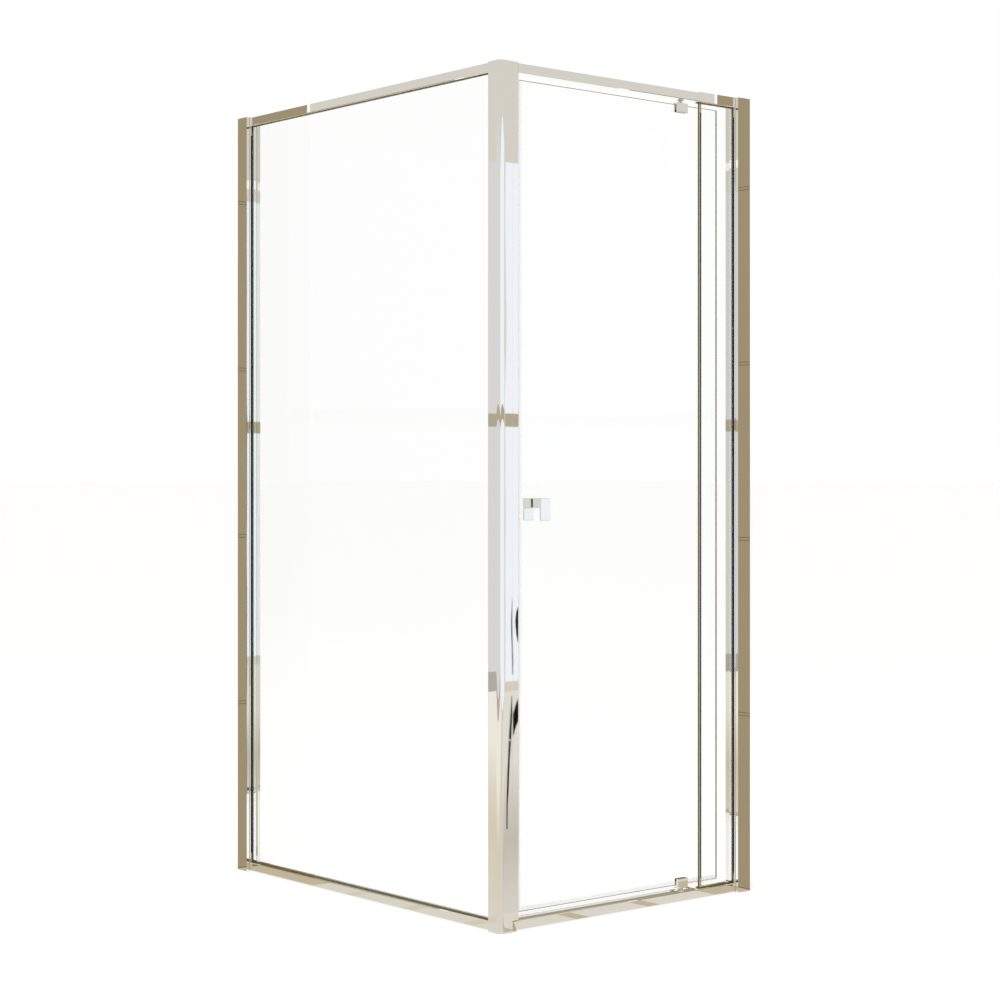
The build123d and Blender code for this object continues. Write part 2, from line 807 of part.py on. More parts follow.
# Door sill, with its slanted end shoe, the joiner to the inline rail and the pivot's carrier
pivot_sill = front.at(pivot_place, door_depth, rail_height)
with BuildPart() as door_sill:
    with BuildSketch(front.section(post_width)):
        with BuildLine():
            Polyline(
                (frame_outer, 0),
                (frame_outer, rail_height - edge_bevel),
                (frame_outer + edge_bevel, rail_height),
                (frame_inner - sill_upstand_thickness, rail_height),
                (frame_inner - sill_upstand_thickness, rail_height + sill_upstand_rise),
                (frame_inner, rail_height + sill_upstand_rise),
                (frame_inner, 0),
                close=True,
            )
        make_face()
    extrude(amount=rail_joint - post_width)
    block(
        front,
        (post_width - overrun, rail_joint + overrun),
        (frame_outer + extrusion_wall, frame_inner - extrusion_wall),
        (extrusion_wall, rail_height - extrusion_wall),
        Mode.SUBTRACT,
    )
    slant = (sill_cut_foot - sill_cut_top) / rail_height
    sill_cut_rise = sill_upstand_rise + overrun
    with BuildSketch(front.elevation(0)):
        with BuildLine():
            Polyline(
                (post_width - overrun, -overrun),
                (post_width + sill_cut_foot + slant * overrun, -overrun),
                (post_width + sill_cut_top - slant * sill_cut_rise, rail_height + sill_cut_rise),
                (post_width - overrun, rail_height + sill_cut_rise),
                close=True,
            )
        make_face()
    extrude(amount=front.inwards(channel_depth), mode=Mode.SUBTRACT)
    bush_hole = pivot_sill + upwards * overrun
    rod(bush_hole, -upwards, bush_radius + fit_gap, extrusion_wall + 2 * overrun, Mode.SUBTRACT)
door_sill.part.label = "door_sill"
export_step(door_sill.part, "parts/door_sill.step")

sill_chamber_depths = (frame_outer + chamber_inset, frame_inner - chamber_inset)
sill_chamber_heights = (chamber_inset, rail_height - chamber_inset)
with BuildPart() as sill_end_shoe:
    with BuildSketch(front.elevation(frame_outer)):
        with BuildLine():
            Polyline(
                (post_width, 0),
                (post_width + sill_cut_foot, 0),
                (post_width + sill_cut_top, rail_height),
                (post_width, rail_height),
                close=True,
            )
        make_face()
    extrude(amount=front.inwards(frame_inner - frame_outer))
    spigot_places = (post_width, post_width + sill_cut_foot + sill_spigot_length)
    block(front, spigot_places, sill_chamber_depths, sill_chamber_heights)
sill_end_shoe.part.label = "sill_end_shoe"
export_step(sill_end_shoe.part, "parts/sill_end_shoe.step")

with BuildPart() as sill_joiner:
    block(front, joiner_places, joiner_depths, (chamber_inset, rail_floor - chamber_inset))
sill_joiner.part.label = "sill_joiner"
export_step(sill_joiner.part, "parts/sill_joiner.step")

with BuildPart() as sill_pivot_carrier:
    block(front, carrier_places, sill_chamber_depths, sill_chamber_heights)
    rod(pivot_sill, -upwards, bush_radius + fit_gap, rail_height, Mode.SUBTRACT)
sill_pivot_carrier.part.label = "sill_pivot_carrier"
export_step(sill_pivot_carrier.part, "parts/sill_pivot_carrier.step")

with BuildPart() as sill_pivot_bush:
    rod(pivot_sill, upwards, bush_flange_radius, sill_flange)
    rod(pivot_sill, -upwards, bush_radius, sill_bush_depth)
    bore_start = pivot_sill + upwards * sill_flange
    rod(bore_start, -upwards, pivot_radius + running_gap, sill_flange + sill_bush_depth, Mode.SUBTRACT)
sill_pivot_bush.part.label = "sill_pivot_bush"
export_step(sill_pivot_bush.part, "parts/sill_pivot_bush.step")

# Fixed inline panel between the door and the wall
inline_screws = (inline_leg_end - connector_screw_place,)
inline_top_rail = glazing_rail(
    front, (rail_joint, inline_leg_end), screen_height, inline_head_underside, top_lip, inline_screws
)
inline_top_rail.part.label = "inline_top_rail"
export_step(inline_top_rail.part, "parts/inline_top_rail.step")

inline_bottom_rail = glazing_rail(front, (rail_joint, inline_rail_end), 0, rail_height, rail_lip, ())
with inline_bottom_rail:
    block(
        front,
        (inline_leg_end, front_width),
        (pocket_inner - overrun, leg_inner + overrun),
        (rail_height, rail_height + rail_lip + overrun),
        Mode.SUBTRACT,
    )
inline_bottom_rail.part.label = "inline_bottom_rail"
export_step(inline_bottom_rail.part, "parts/inline_bottom_rail.step")

inline_glass = pane(
    front,
    (inline_glass_start, inline_glass_end),
    fixed_glass_outer,
    (fixed_glass_foot, inline_glass_top),
)
inline_glass.part.label = "inline_glass"
export_step(inline_glass.part, "parts/inline_glass.step")

inline_gasket_places = (inline_glass_start, inline_leg_end + jamb_pocket - gasket_end_gap)
inline_gasket_heights = (
    rail_floor + gasket_end_gap,
    inline_head_underside + rail_pocket - gasket_end_gap,
)
inline_outer_gasket = gasket(
    front,
    pocket_outer,
    inline_gasket_places,
    (rail_joint, inline_leg_end - outer_gasket_show),
    inline_gasket_heights,
    (rail_height - gasket_recess, inline_head_underside + gasket_recess),
)
inline_outer_gasket.part.label = "inline_outer_gasket"
export_step(inline_outer_gasket.part, "parts/inline_outer_gasket.step")

inline_inner_gasket = gasket(
    front,
    fixed_glass_inner,
    inline_gasket_places,
    (rail_joint, inline_leg_end - inner_gasket_show),
    inline_gasket_heights,
    (rail_height - gasket_recess, inline_head_underside + gasket_recess),
)
inline_inner_gasket.part.label = "inline_inner_gasket"
export_step(inline_inner_gasket.part, "parts/inline_inner_gasket.step")

# The strip on the inner face of the inline pane that closes the gap to the door glass
edge_seal_start = inline_glass_start + edge_seal_inset
with BuildPart() as inline_edge_seal:
    block(
        front,
        (edge_seal_start, edge_seal_start + edge_seal_width),
        (fixed_glass_inner, door_glass_outer - edge_seal_gap),
        (
            rail_height + rail_lip + edge_seal_end_gap,
            inline_head_underside - top_lip - edge_seal_end_gap,
        ),
    )
inline_edge_seal.part.label = "inline_edge_seal"
export_step(inline_edge_seal.part, "parts/inline_edge_seal.step")

# Setting blocks under the fixed panes
with BuildPart() as setting_blocks:
    glass_depths = (fixed_glass_outer, fixed_glass_inner)
    for share in setting_place_shares:
        middle = side_glass_start + share * (side_glass_end - side_glass_start)
        block(
            side,
            (middle - setting_length / 2, middle + setting_length / 2),
            glass_depths,
            (rail_floor, fixed_glass_foot),
        )
    inline_middle = (inline_glass_start + inline_leg_end) / 2
    block(
        front,
        (inline_middle - setting_length / 2, inline_middle + setting_length / 2),
        glass_depths,
        (rail_floor, fixed_glass_foot),
    )
setting_blocks.part.label = "setting_blocks"
export_step(setting_blocks.part, "parts/setting_blocks.step")

# Connectors that hold the rails to the post and the jambs, and their screws
connector_depths = (pocket_outer + seat_gap, pocket_inner - seat_gap)
foot_heights = (chamber_inset, rail_floor - chamber_inset)
side_head_heights = (header_underside + rail_pocket + chamber_inset, header_top - chamber_inset)
inline_head_heights = (
    inline_head_underside + rail_pocket + chamber_inset,
    screen_height - chamber_inset,
)
post_pocket_floor = post_depth - post_pocket_depth + seat_gap
side_pocket_floor = side_leg_end + jamb_pocket - seat_gap
inline_pocket_floor = inline_leg_end + jamb_pocket - seat_gap
connectors = (
    (side, (post_pocket_floor, post_depth + connector_reach), foot_heights, side_foot_screws[0]),
    (side, (post_pocket_floor, post_depth + connector_reach), side_head_heights, side_top_screws[0]),
    (side, (side_leg_end - connector_reach, side_pocket_floor), side_head_heights, side_top_screws[1]),
    (
        front,
        (inline_leg_end - connector_reach, inline_pocket_floor),
        inline_head_heights,
        inline_screws[0],
    ),
)
with BuildPart() as rail_connectors:
    for run, places, heights, screw_place in connectors:
        block(run, places, connector_depths, heights)
        face = run.at(screw_place, leg_inner, sum(heights) / 2)
        rod(face, -run.inward, screw_radius + fit_gap, connector_screw_length + seat_gap, Mode.SUBTRACT)
rail_connectors.part.label = "rail_connectors"
export_step(rail_connectors.part, "parts/rail_connectors.step")

with BuildPart() as rail_screws:
    for run, places, heights, screw_place in connectors:
        seat = run.at(screw_place, leg_inner, sum(heights) / 2)
        pan_screw(seat, -run.inward, connector_screw_length)
rail_screws.part.label = "rail_screws"
export_step(rail_screws.part, "parts/rail_screws.step")

# Door glass, notched for the pivots and drilled for the handle
notches = ((door_glass_top, -1), (door_glass_foot, 1))
with BuildPart() as door_glass:
    block(
        front,
        (door_glass_start, door_glass_end),
        (door_glass_outer, door_glass_inner),
        (door_glass_foot, door_glass_top),
    )
    for edge_height, facing in notches:
        block(
            front,
            (pivot_place - notch_width / 2, pivot_place + notch_width / 2),
            (door_glass_outer - overrun, door_glass_inner + overrun),
            (edge_height - facing * overrun, edge_height + facing * notch_depth),
            Mode.SUBTRACT,
        )
    handle_hole = front.at(handle_middle, door_glass_outer - overrun, handle_bolt_height)
    rod(handle_hole, front.inward, handle_hole_radius, glass_thickness + 2 * overrun, Mode.SUBTRACT)
    glass_faces = door_glass.faces().filter_by(Axis.Y)
    arrises = glass_faces.sort_by(Axis.Y)[0].edges() + glass_faces.sort_by(Axis.Y)[-1].edges()
    chamfer(arrises, glass_arris)
door_glass.part.label = "door_glass"
export_step(door_glass.part, "parts/door_glass.step")

# Pivot clamps: a flat outer half, and an inner half with the core that fills the glass notch
clamp_places = (pivot_place - clamp_width / 2, pivot_place + clamp_width / 2)
core_half = notch_width / 2 - notch_gap
outer_seat = door_glass_outer - clamp_gasket
inner_seat = door_glass_inner + clamp_gasket
top_clamp_head = door_glass_top + clamp_rise
bottom_clamp_foot = door_glass_foot - clamp_drop
clamp_levels = {
    "top": {
        "plate": (top_clamp_head - clamp_height, top_clamp_head),
        "core": (door_glass_top - notch_depth + notch_gap, top_clamp_head),
        "gasket": (top_clamp_head - clamp_height, door_glass_top),
        "screws": door_glass_top - notch_depth / 2,
        "pin_end": top_clamp_head,
        "pin_way": -upwards,
    },
    "bottom": {
        "plate": (bottom_clamp_foot, bottom_clamp_foot + clamp_height),
        "core": (bottom_clamp_foot, door_glass_foot + notch_depth - notch_gap),
        "gasket": (door_glass_foot, bottom_clamp_foot + clamp_height),
        "screws": door_glass_foot + notch_depth / 2,
        "pin_end": bottom_clamp_foot,
        "pin_way": upwards,
    },
}


def pin_hole(level):
    """Cut the hole that the pivot pin stands in."""
    start = front.at(pivot_place, door_depth, level["pin_end"])
    rod(start, level["pin_way"], pivot_radius + fit_gap, clamp_pin_depth, Mode.SUBTRACT)


for name, level in clamp_levels.items():
    screw_places = (pivot_place - clamp_screw_spread, pivot_place + clamp_screw_spread)

    with BuildPart() as clamp_outer:
        block(front, clamp_places, (outer_seat - clamp_plate, outer_seat), level["plate"])
        face = clamp_outer.faces().sort_by(Axis.Y)[0]
        chamfer(face.edges(), clamp_bevel)
        for place in screw_places:
            seat = front.at(place, outer_seat, level["screws"])
            rod(seat, -front.inward, clamp_screw_radius + fit_gap, clamp_screw_bite, Mode.SUBTRACT)
        pin_hole(level)
    clamp_outer.part.label = f"{name}_clamp_outer"
    export_step(clamp_outer.part, f"parts/{name}_clamp_outer.step")

    with BuildPart() as clamp_inner:
        block(front, clamp_places, (inner_seat, inner_seat + clamp_plate), level["plate"])
        face = clamp_inner.faces().sort_by(Axis.Y)[-1]
        chamfer(face.edges(), clamp_bevel)
        core_places = (pivot_place - core_half, pivot_place + core_half)
        block(front, core_places, (outer_seat, inner_seat), level["core"])
        for place in screw_places:
            seat = front.at(place, inner_seat + clamp_plate, level["screws"])
            through = clamp_plate + inner_seat - outer_seat
            rod(seat, -front.inward, clamp_screw_radius + fit_gap, through, Mode.SUBTRACT)
            head_radius = clamp_screw_head_radius + fit_gap
            rod(seat, -front.inward, head_radius, clamp_screw_head_height, Mode.SUBTRACT)
        pin_hole(level)
    clamp_inner.part.label = f"{name}_clamp_inner"
    export_step(clamp_inner.part, f"parts/{name}_clamp_inner.step")

# Clamp screws and the thin gaskets between the clamps and the glass
with BuildPart() as clamp_screws:
    for level in clamp_levels.values():
        for spread in (-clamp_screw_spread, clamp_screw_spread):
            head = front.at(pivot_place + spread, inner_seat + clamp_plate, level["screws"])
            shank = clamp_plate + inner_seat - outer_seat + clamp_screw_bite - fit_gap
            rod(head, -front.inward, clamp_screw_head_radius, clamp_screw_head_height)
            rod(head, -front.inward, clamp_screw_radius, shank)
clamp_screws.part.label = "clamp_screws"
export_step(clamp_screws.part, "parts/clamp_screws.step")

with BuildPart() as clamp_gaskets:
    for level in clamp_levels.values():
        for seat in (outer_seat, door_glass_inner):
            block(front, clamp_places, (seat, seat + clamp_gasket), level["gasket"])
    for edge_height, facing in notches:
        block(
            front,
            (pivot_place - notch_width / 2, pivot_place + notch_width / 2),
            (outer_seat - overrun, inner_seat + overrun),
            (edge_height - facing * overrun, edge_height + facing * notch_depth),
            Mode.SUBTRACT,
        )
clamp_gaskets.part.label = "clamp_gaskets"
export_step(clamp_gaskets.part, "parts/clamp_gaskets.step")

# Pivot pins: the bottom one has the collar that carries the door on the sill bush
with BuildPart() as top_pivot_pin:
    pin_foot_height = top_clamp_head - clamp_pin_depth
    pin_foot = front.at(pivot_place, door_depth, pin_foot_height)
    rod(pin_foot, upwards, pivot_radius, header_underside + bush_depth - bush_end_gap - pin_foot_height)
top_pivot_pin.part.label = "top_pivot_pin"
export_step(top_pivot_pin.part, "parts/top_pivot_pin.step")

with BuildPart() as bottom_pivot_pin:
    pin_head = front.at(pivot_place, door_depth, bottom_clamp_foot + clamp_pin_depth)
    pin_tip_height = rail_height - sill_bush_depth + bush_end_gap
    rod(pin_head, -upwards, pivot_radius, bottom_clamp_foot + clamp_pin_depth - pin_tip_height)
    collar_foot = front.at(pivot_place, door_depth, rail_height + sill_flange + collar_gap)
    rod(collar_foot, upwards, collar_radius, bottom_clamp_foot - rail_height - sill_flange - collar_gap)
bottom_pivot_pin.part.label = "bottom_pivot_pin"
export_step(bottom_pivot_pin.part, "parts/bottom_pivot_pin.step")

# Square finger pulls, one on each face of the door glass
handle_places = (handle_start, handle_start + handle_width)
for name, facing in (("handle_outer", -1), ("handle_inner", 1)):
    face_depth = door_depth + facing * glass_thickness / 2
    stem_root = face_depth + facing * washer_thickness
    plate_back = face_depth + facing * handle_reach
    plate_front = plate_back + facing * handle_plate
    with BuildPart() as handle:
        block(front, handle_places, (plate_back, plate_front), (handle_top - handle_height, handle_top))
        block(front, handle_places, (stem_root, plate_back), (handle_stem_foot, handle_top))
        fillet(handle.edges(), handle_edge_radius)
        bore = front.at(handle_middle, stem_root, handle_bolt_height)
        rod(
            bore,
            front.inward * facing,
            handle_bolt_radius + fit_gap,
            handle_bolt_bite + handle_bolt_end_gap,
            Mode.SUBTRACT,
        )
    handle.part.label = name
    export_step(handle.part, f"parts/{name}.step")

with BuildPart() as handle_bolt:
    bolt_start = front.at(
        handle_middle, door_glass_outer - washer_thickness - handle_bolt_bite, handle_bolt_height
    )
    bolt_length = glass_thickness + 2 * (washer_thickness + handle_bolt_bite)
    rod(bolt_start, front.inward, handle_bolt_radius, bolt_length)
handle_bolt.part.label = "handle_bolt"
export_step(handle_bolt.part, "parts/handle_bolt.step")

with BuildPart() as handle_washers:
    for seat in (door_glass_outer - washer_thickness, door_glass_inner):
        face = front.at(handle_middle, seat, handle_bolt_height)
        rod(face, front.inward, washer_radius, washer_thickness)
        rod(face, front.inward, handle_bolt_radius + fit_gap, washer_thickness, Mode.SUBTRACT)
handle_washers.part.label = "handle_washers"
export_step(handle_washers.part, "parts/handle_washers.step")

# Edge seal on the door's closing edge: a clip on the glass with the magnet strip in its nose
clip_depths = (door_glass_outer - seal_fit - seal_wall, door_glass_inner + seal_fit + seal_wall)
slot_depths = (door_glass_outer - seal_fit, door_glass_inner + seal_fit)
with BuildPart() as door_edge_seal:
    door_seal_heights = (door_glass_foot, door_glass_top)
    nose_end = door_seal_start + door_seal_nose
    block(
        front,
        (door_seal_start, nose_end),
        (door_depth - door_seal_magnet / 2, door_depth + door_seal_magnet / 2),
        door_seal_heights,
    )
    block(front, (nose_end, door_glass_start + door_seal_reach), clip_depths, door_seal_heights)
    block(
        front,
        (door_glass_start - seal_fit, door_glass_start + door_seal_reach + overrun),
        slot_depths,
        (door_glass_foot - overrun, door_glass_top + overrun),
        Mode.SUBTRACT,
    )
door_edge_seal.part.label = "door_edge_seal"
export_step(door_edge_seal.part, "parts/door_edge_seal.step")

# Drip seal along the door's foot, in a long length with a low fin and a short one that swings inwards
drip_top = door_glass_foot + drip_leg_height
drip_foot = door_glass_foot - drip_base
long_length = (
    door_glass_start + door_seal_reach + drip_margin,
    pivot_place - drip_pivot_gap,
    rail_height + drip_fin_gap,
)
short_length = (
    pivot_place + drip_pivot_gap,
    door_glass_end - drip_short_end_gap,
    drip_foot - drip_short_fin,
)
with BuildPart() as door_drip_seal:
    for start, end, fin_foot in (long_length, short_length):
        drip_depths = (slot_depths[0] - drip_wall, slot_depths[1] + drip_wall)
        block(front, (start, end), drip_depths, (drip_foot, drip_top))
        with BuildSketch(front.section(start)):
            with BuildLine():
                Polyline(
                    (door_depth - drip_fin_root / 2, drip_foot),
                    (door_depth + drip_fin_root / 2, drip_foot),
                    (door_depth + drip_fin_lean + drip_fin_tip / 2, fin_foot),
                    (door_depth + drip_fin_lean - drip_fin_tip / 2, fin_foot),
                    close=True,
                )
            make_face()
        extrude(amount=end - start)
        block(
            front,
            (start - overrun, end + overrun),
            slot_depths,
            (door_glass_foot - seal_fit, drip_top + overrun),
            Mode.SUBTRACT,
        )
door_drip_seal.part.label = "door_drip_seal"
export_step(door_drip_seal.part, "parts/door_drip_seal.step")
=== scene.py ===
"""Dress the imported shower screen: finishes, detailed screws, and a photo studio around it."""

import math

import bmesh
import bpy
from mathutils import Matrix, Vector


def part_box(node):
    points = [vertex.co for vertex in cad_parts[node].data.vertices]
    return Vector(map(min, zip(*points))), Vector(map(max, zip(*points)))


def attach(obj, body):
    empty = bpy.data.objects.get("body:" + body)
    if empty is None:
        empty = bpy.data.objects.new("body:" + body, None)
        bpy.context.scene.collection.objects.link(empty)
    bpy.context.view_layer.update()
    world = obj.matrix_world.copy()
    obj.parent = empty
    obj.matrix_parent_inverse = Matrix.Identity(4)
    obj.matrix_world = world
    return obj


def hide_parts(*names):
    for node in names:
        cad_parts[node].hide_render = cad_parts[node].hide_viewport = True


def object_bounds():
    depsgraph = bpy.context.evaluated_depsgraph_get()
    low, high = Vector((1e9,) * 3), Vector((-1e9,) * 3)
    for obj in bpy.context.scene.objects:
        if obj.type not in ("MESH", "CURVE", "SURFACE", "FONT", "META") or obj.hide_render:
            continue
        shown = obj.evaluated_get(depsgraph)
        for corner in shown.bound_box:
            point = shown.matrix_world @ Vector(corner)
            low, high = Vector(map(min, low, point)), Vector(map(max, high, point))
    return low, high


bl_info = {
    "name": "Shower Screen",
    "version": (1, 0, 0),
    "blender": (4, 5, 0),
    "location": "View3D > Sidebar > Shower Screen",
    "description": "Finishes and small parts of a framed corner shower screen with a pivot door",
    "category": "Object",
}

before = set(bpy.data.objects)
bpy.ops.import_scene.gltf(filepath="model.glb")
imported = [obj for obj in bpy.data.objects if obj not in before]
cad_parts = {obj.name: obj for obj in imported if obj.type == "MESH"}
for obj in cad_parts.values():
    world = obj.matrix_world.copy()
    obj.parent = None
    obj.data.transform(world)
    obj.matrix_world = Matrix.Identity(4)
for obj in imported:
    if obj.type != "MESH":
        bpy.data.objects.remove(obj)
CAD_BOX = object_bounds()

MM_PER_M = 1000

# The ways that the front's and the side's panes face
FRONT_FACING = Vector((0, 1, 0))
SIDE_FACING = Vector((1, 0, 0))
# A face of a pane that is turned further from the pane's way than this cosine is an edge
EDGE_COSINE = 0.9
# Seen this clear, the panes hardly mirror: a fifth of what plain float glass does
PANE_IOR = 1.2
EDGE_CLEARNESS = 0.15
# The rails and the gaskets along them take up this height at the frame's top and at its bottom
RAIL_HEIGHT = 0.045
# A casting's and a moulding's deepest tone against its palest, and how bloom pales black rubber
CASTING_SHADE = 0.72
MOULDING_SHADE = 0.86
BLOOM_GAIN, BLOOM_LIFT = 2.2, 0.004

# Two vertices are one point if their places in metres agree to this many decimals
POINT_DECIMALS = 5
# A pan head's outline from its seat up, as shares of the head's radius and height
PAN_HEAD = ((0.94, 0), (1, 0.12), (1, 0.35), (0.93, 0.68), (0.74, 0.9), (0.45, 0.99), (0, 1))
# The soft corners of a cheese head, as a share of its radius
SOFT_CORNER = 0.08
# A screw's tip, thread and neck: shares of the shank's radius, and of one turn's height
TIP_RADIUS, TIP_HEIGHT = 0.6, 0.5
ROOT_RADIUS, ROOT_HEIGHT, CREST_HEIGHT = 0.84, 0.5, 0.98
NECK_RADIUS, NECK_DROP = 0.9, 0.0001
THREAD_PITCH = 0.0012
LEAST_TURNS = 3
LATHE_STEPS = 40
# How far a cutter stands out of a head, and how much a cross recess narrows to its foot
CUTTER_RISE = 0.001
CROSS_TAPER = 0.7
SHARP_EDGE = math.radians(35)

# Heights of the sheets on the ground, each far enough above the last to show
FLOOR_LEVEL = -0.0004
WIDE_LEVEL, STRIP_LEVEL, FOOT_LEVEL, ROD_LEVEL = 0.0005, 0.001, 0.0015, 0.002
# Where the first joints of the floor tiles lie, along the side and along the front
SIDE_JOINT_START = 0.104
FRONT_JOINT_START = 0.229
# How far the skirtings stand before their walls, and where the door frame begins and ends
SKIRTING_INSET = 0.01
DOOR_FRAME_SPAN = (3.321, 3.348)
# Dark things in the room, of which the post's front shows only slivers: their outlines are drawn
# in the photograph's pixels and followed through the mirror to the upright plane at DARK_PLACE
PHOTO_SIDE = 1000
DARK_PLACE = -2.58
DARK_OUTLINES = {
    "card_dark_low": ((513.4, 713.7), (519.5, 694), (519.5, 717), (513.4, 737)),
    "card_dark_high": (
        *((519.5, 605), (517.6, 611), (516.4, 616), (516, 621)),
        *((516.4, 627), (517.5, 634), (519.5, 644)),
    ),
}
# A thin rod among them: pixels along its middle, each with half the rod's width there
ROD_HIGH = (
    *((512.7, 592, 0.3), (512.2, 606, 0.7), (511.7, 620, 1), (511.7, 632, 1.1)),
    *((512.2, 650, 1), (512.6, 662, 0.9), (512.7, 675, 0.7)),
)
ROD_LOW = ((511.8, 696, 0.4), (511.5, 708, 0.9), (510.8, 724, 1), (510.1, 739.5, 1.1))
ROD_ON_FLOOR = (
    *((510, 740.5, 1.1), (509.2, 752, 1.1), (508.5, 764, 1), (507.9, 776, 1)),
    *((507.4, 790, 0.9), (507, 804, 0.8), (506.7, 829, 0.6)),
)
# Places in the mirrored room are kept to the millimetre
ROOM_DECIMALS = 3

# The sky gives less light than it shows, so that the floor keeps the screen's shadow
SKY_LIGHT, SKY_SHOWN = 0.78, 1.0
# The lamp's watts, its side in metres, its linear colour, its place and where it points
LAMP_POWER = 60
LAMP_SIZE = 3
LAMP_TONE = (1, 0.985, 0.965)
LAMP_PLACE = (-2.6, -2.2, 3.6)
LAMP_TARGET = (0.3, 0.3, 0.6)
# The camera's sensor in millimetres, and how near it sees in metres
SENSOR_WIDTH = 36
CLIP_START = 0.05


def linear(code):
    """Turn an sRGB hex colour into linear RGBA."""
    channels = [int(code[i : i + 2], 16) / 255 for i in (1, 3, 5)]
    values = (c / 12.92 if c <= 0.04045 else ((c + 0.055) / 1.055) ** 2.4 for c in channels)
    return (*values, 1.0)


def colour(name, description, code):
    """A colour swatch for a property group."""
    return bpy.props.FloatVectorProperty(
        name=name,
        description=description,
        default=linear(code),
        size=4,
        min=0,
        max=1,
        subtype="COLOR",
    )


def length(name, description, millimetres):
    """A length for a property group, given in millimetres and kept in metres."""
    return bpy.props.FloatProperty(
        name=name,
        description=description,
        default=millimetres / MM_PER_M,
        min=0,
        precision=4,
        subtype="DISTANCE",
        unit="LENGTH",
    )


class ScreenFinishes(bpy.types.PropertyGroup):
    """Colours of the screen's materials."""

    chrome: colour("Chrome", "Bright chromed aluminium of the extrusions", "#FAF9F7")
    plated: colour("Plated zinc", "Chrome plating of the handles and the clamps", "#FAF9F7")
    steel: colour("Screw steel", "Stainless steel of the screws and pins", "#C9C9CB")
    casting: colour("Castings", "Bare aluminium of the connectors inside the rails", "#BDBEC0")
    glass: colour("Glass", "Toughened clear glass seen through its face", "#FEFFFE")
    glass_edge: colour("Glass edge", "Ground edge of the glass, seen on end", "#7F7349")
    level_edge: colour("Level edge", "Ground top and bottom edges, in the rails' shade", "#4F4526")
    rubber: colour("Rubber", "Black gaskets and seals", "#0A0A0B")
    # Painted reflection and highlight: along the rails the black gaskets take this brown in place
    # of their own black
    rail_gasket_reflection: colour("Rail gaskets", "Smoke brown of the gaskets along the rails", "#B89F6C")
    clear_seal: colour("Clear seal", "Soft clear strip on the door's edges", "#F6F8F7")
    bush: colour("Bushes", "White acetal of the pivot bushes", "#E6E5E0")
    plug: colour("Plugs", "Grey moulded plugs inside the extrusions", "#8E8F92")
    foot: colour("Post foot", "Off-white moulded foot under the post", "#DDD7CB")
    # Painted reflection: this warmer, darker tone stands in for what the shoe's slope mirrors
    shoe: colour("End shoe", "Satin plating of the slanted shoe at the sill's end", "#CDBFA2")


class ScreenSizes(bpy.types.PropertyGroup):
    """Sizes of the details that the finishes and the screws have."""

    ripple_length: length("Ripple length", "Length of one slow wave along an extrusion", 260)
    ripple_width: length("Ripple width", "Width of one slow wave across an extrusion", 26)
    ripple_depth: length("Ripple depth", "Depth of the slow waves in an extrusion's faces", 0.02)
    roller_wave: length("Roller wave", "Distance between the waves left by toughening", 280)
    cross_width: length("Cross width", "Width of one blade of a screw's cross recess", 0.9)
    cross_span: length("Cross span", "Span of a screw's cross recess", 4.2)
    cross_depth: length("Cross depth", "Depth of a screw's cross recess", 1.5)
    socket_span: length("Socket span", "Span across the flats of a hexagon socket", 3.0)
    socket_depth: length("Socket depth", "Depth of a clamp screw's hexagon socket", 1.5)


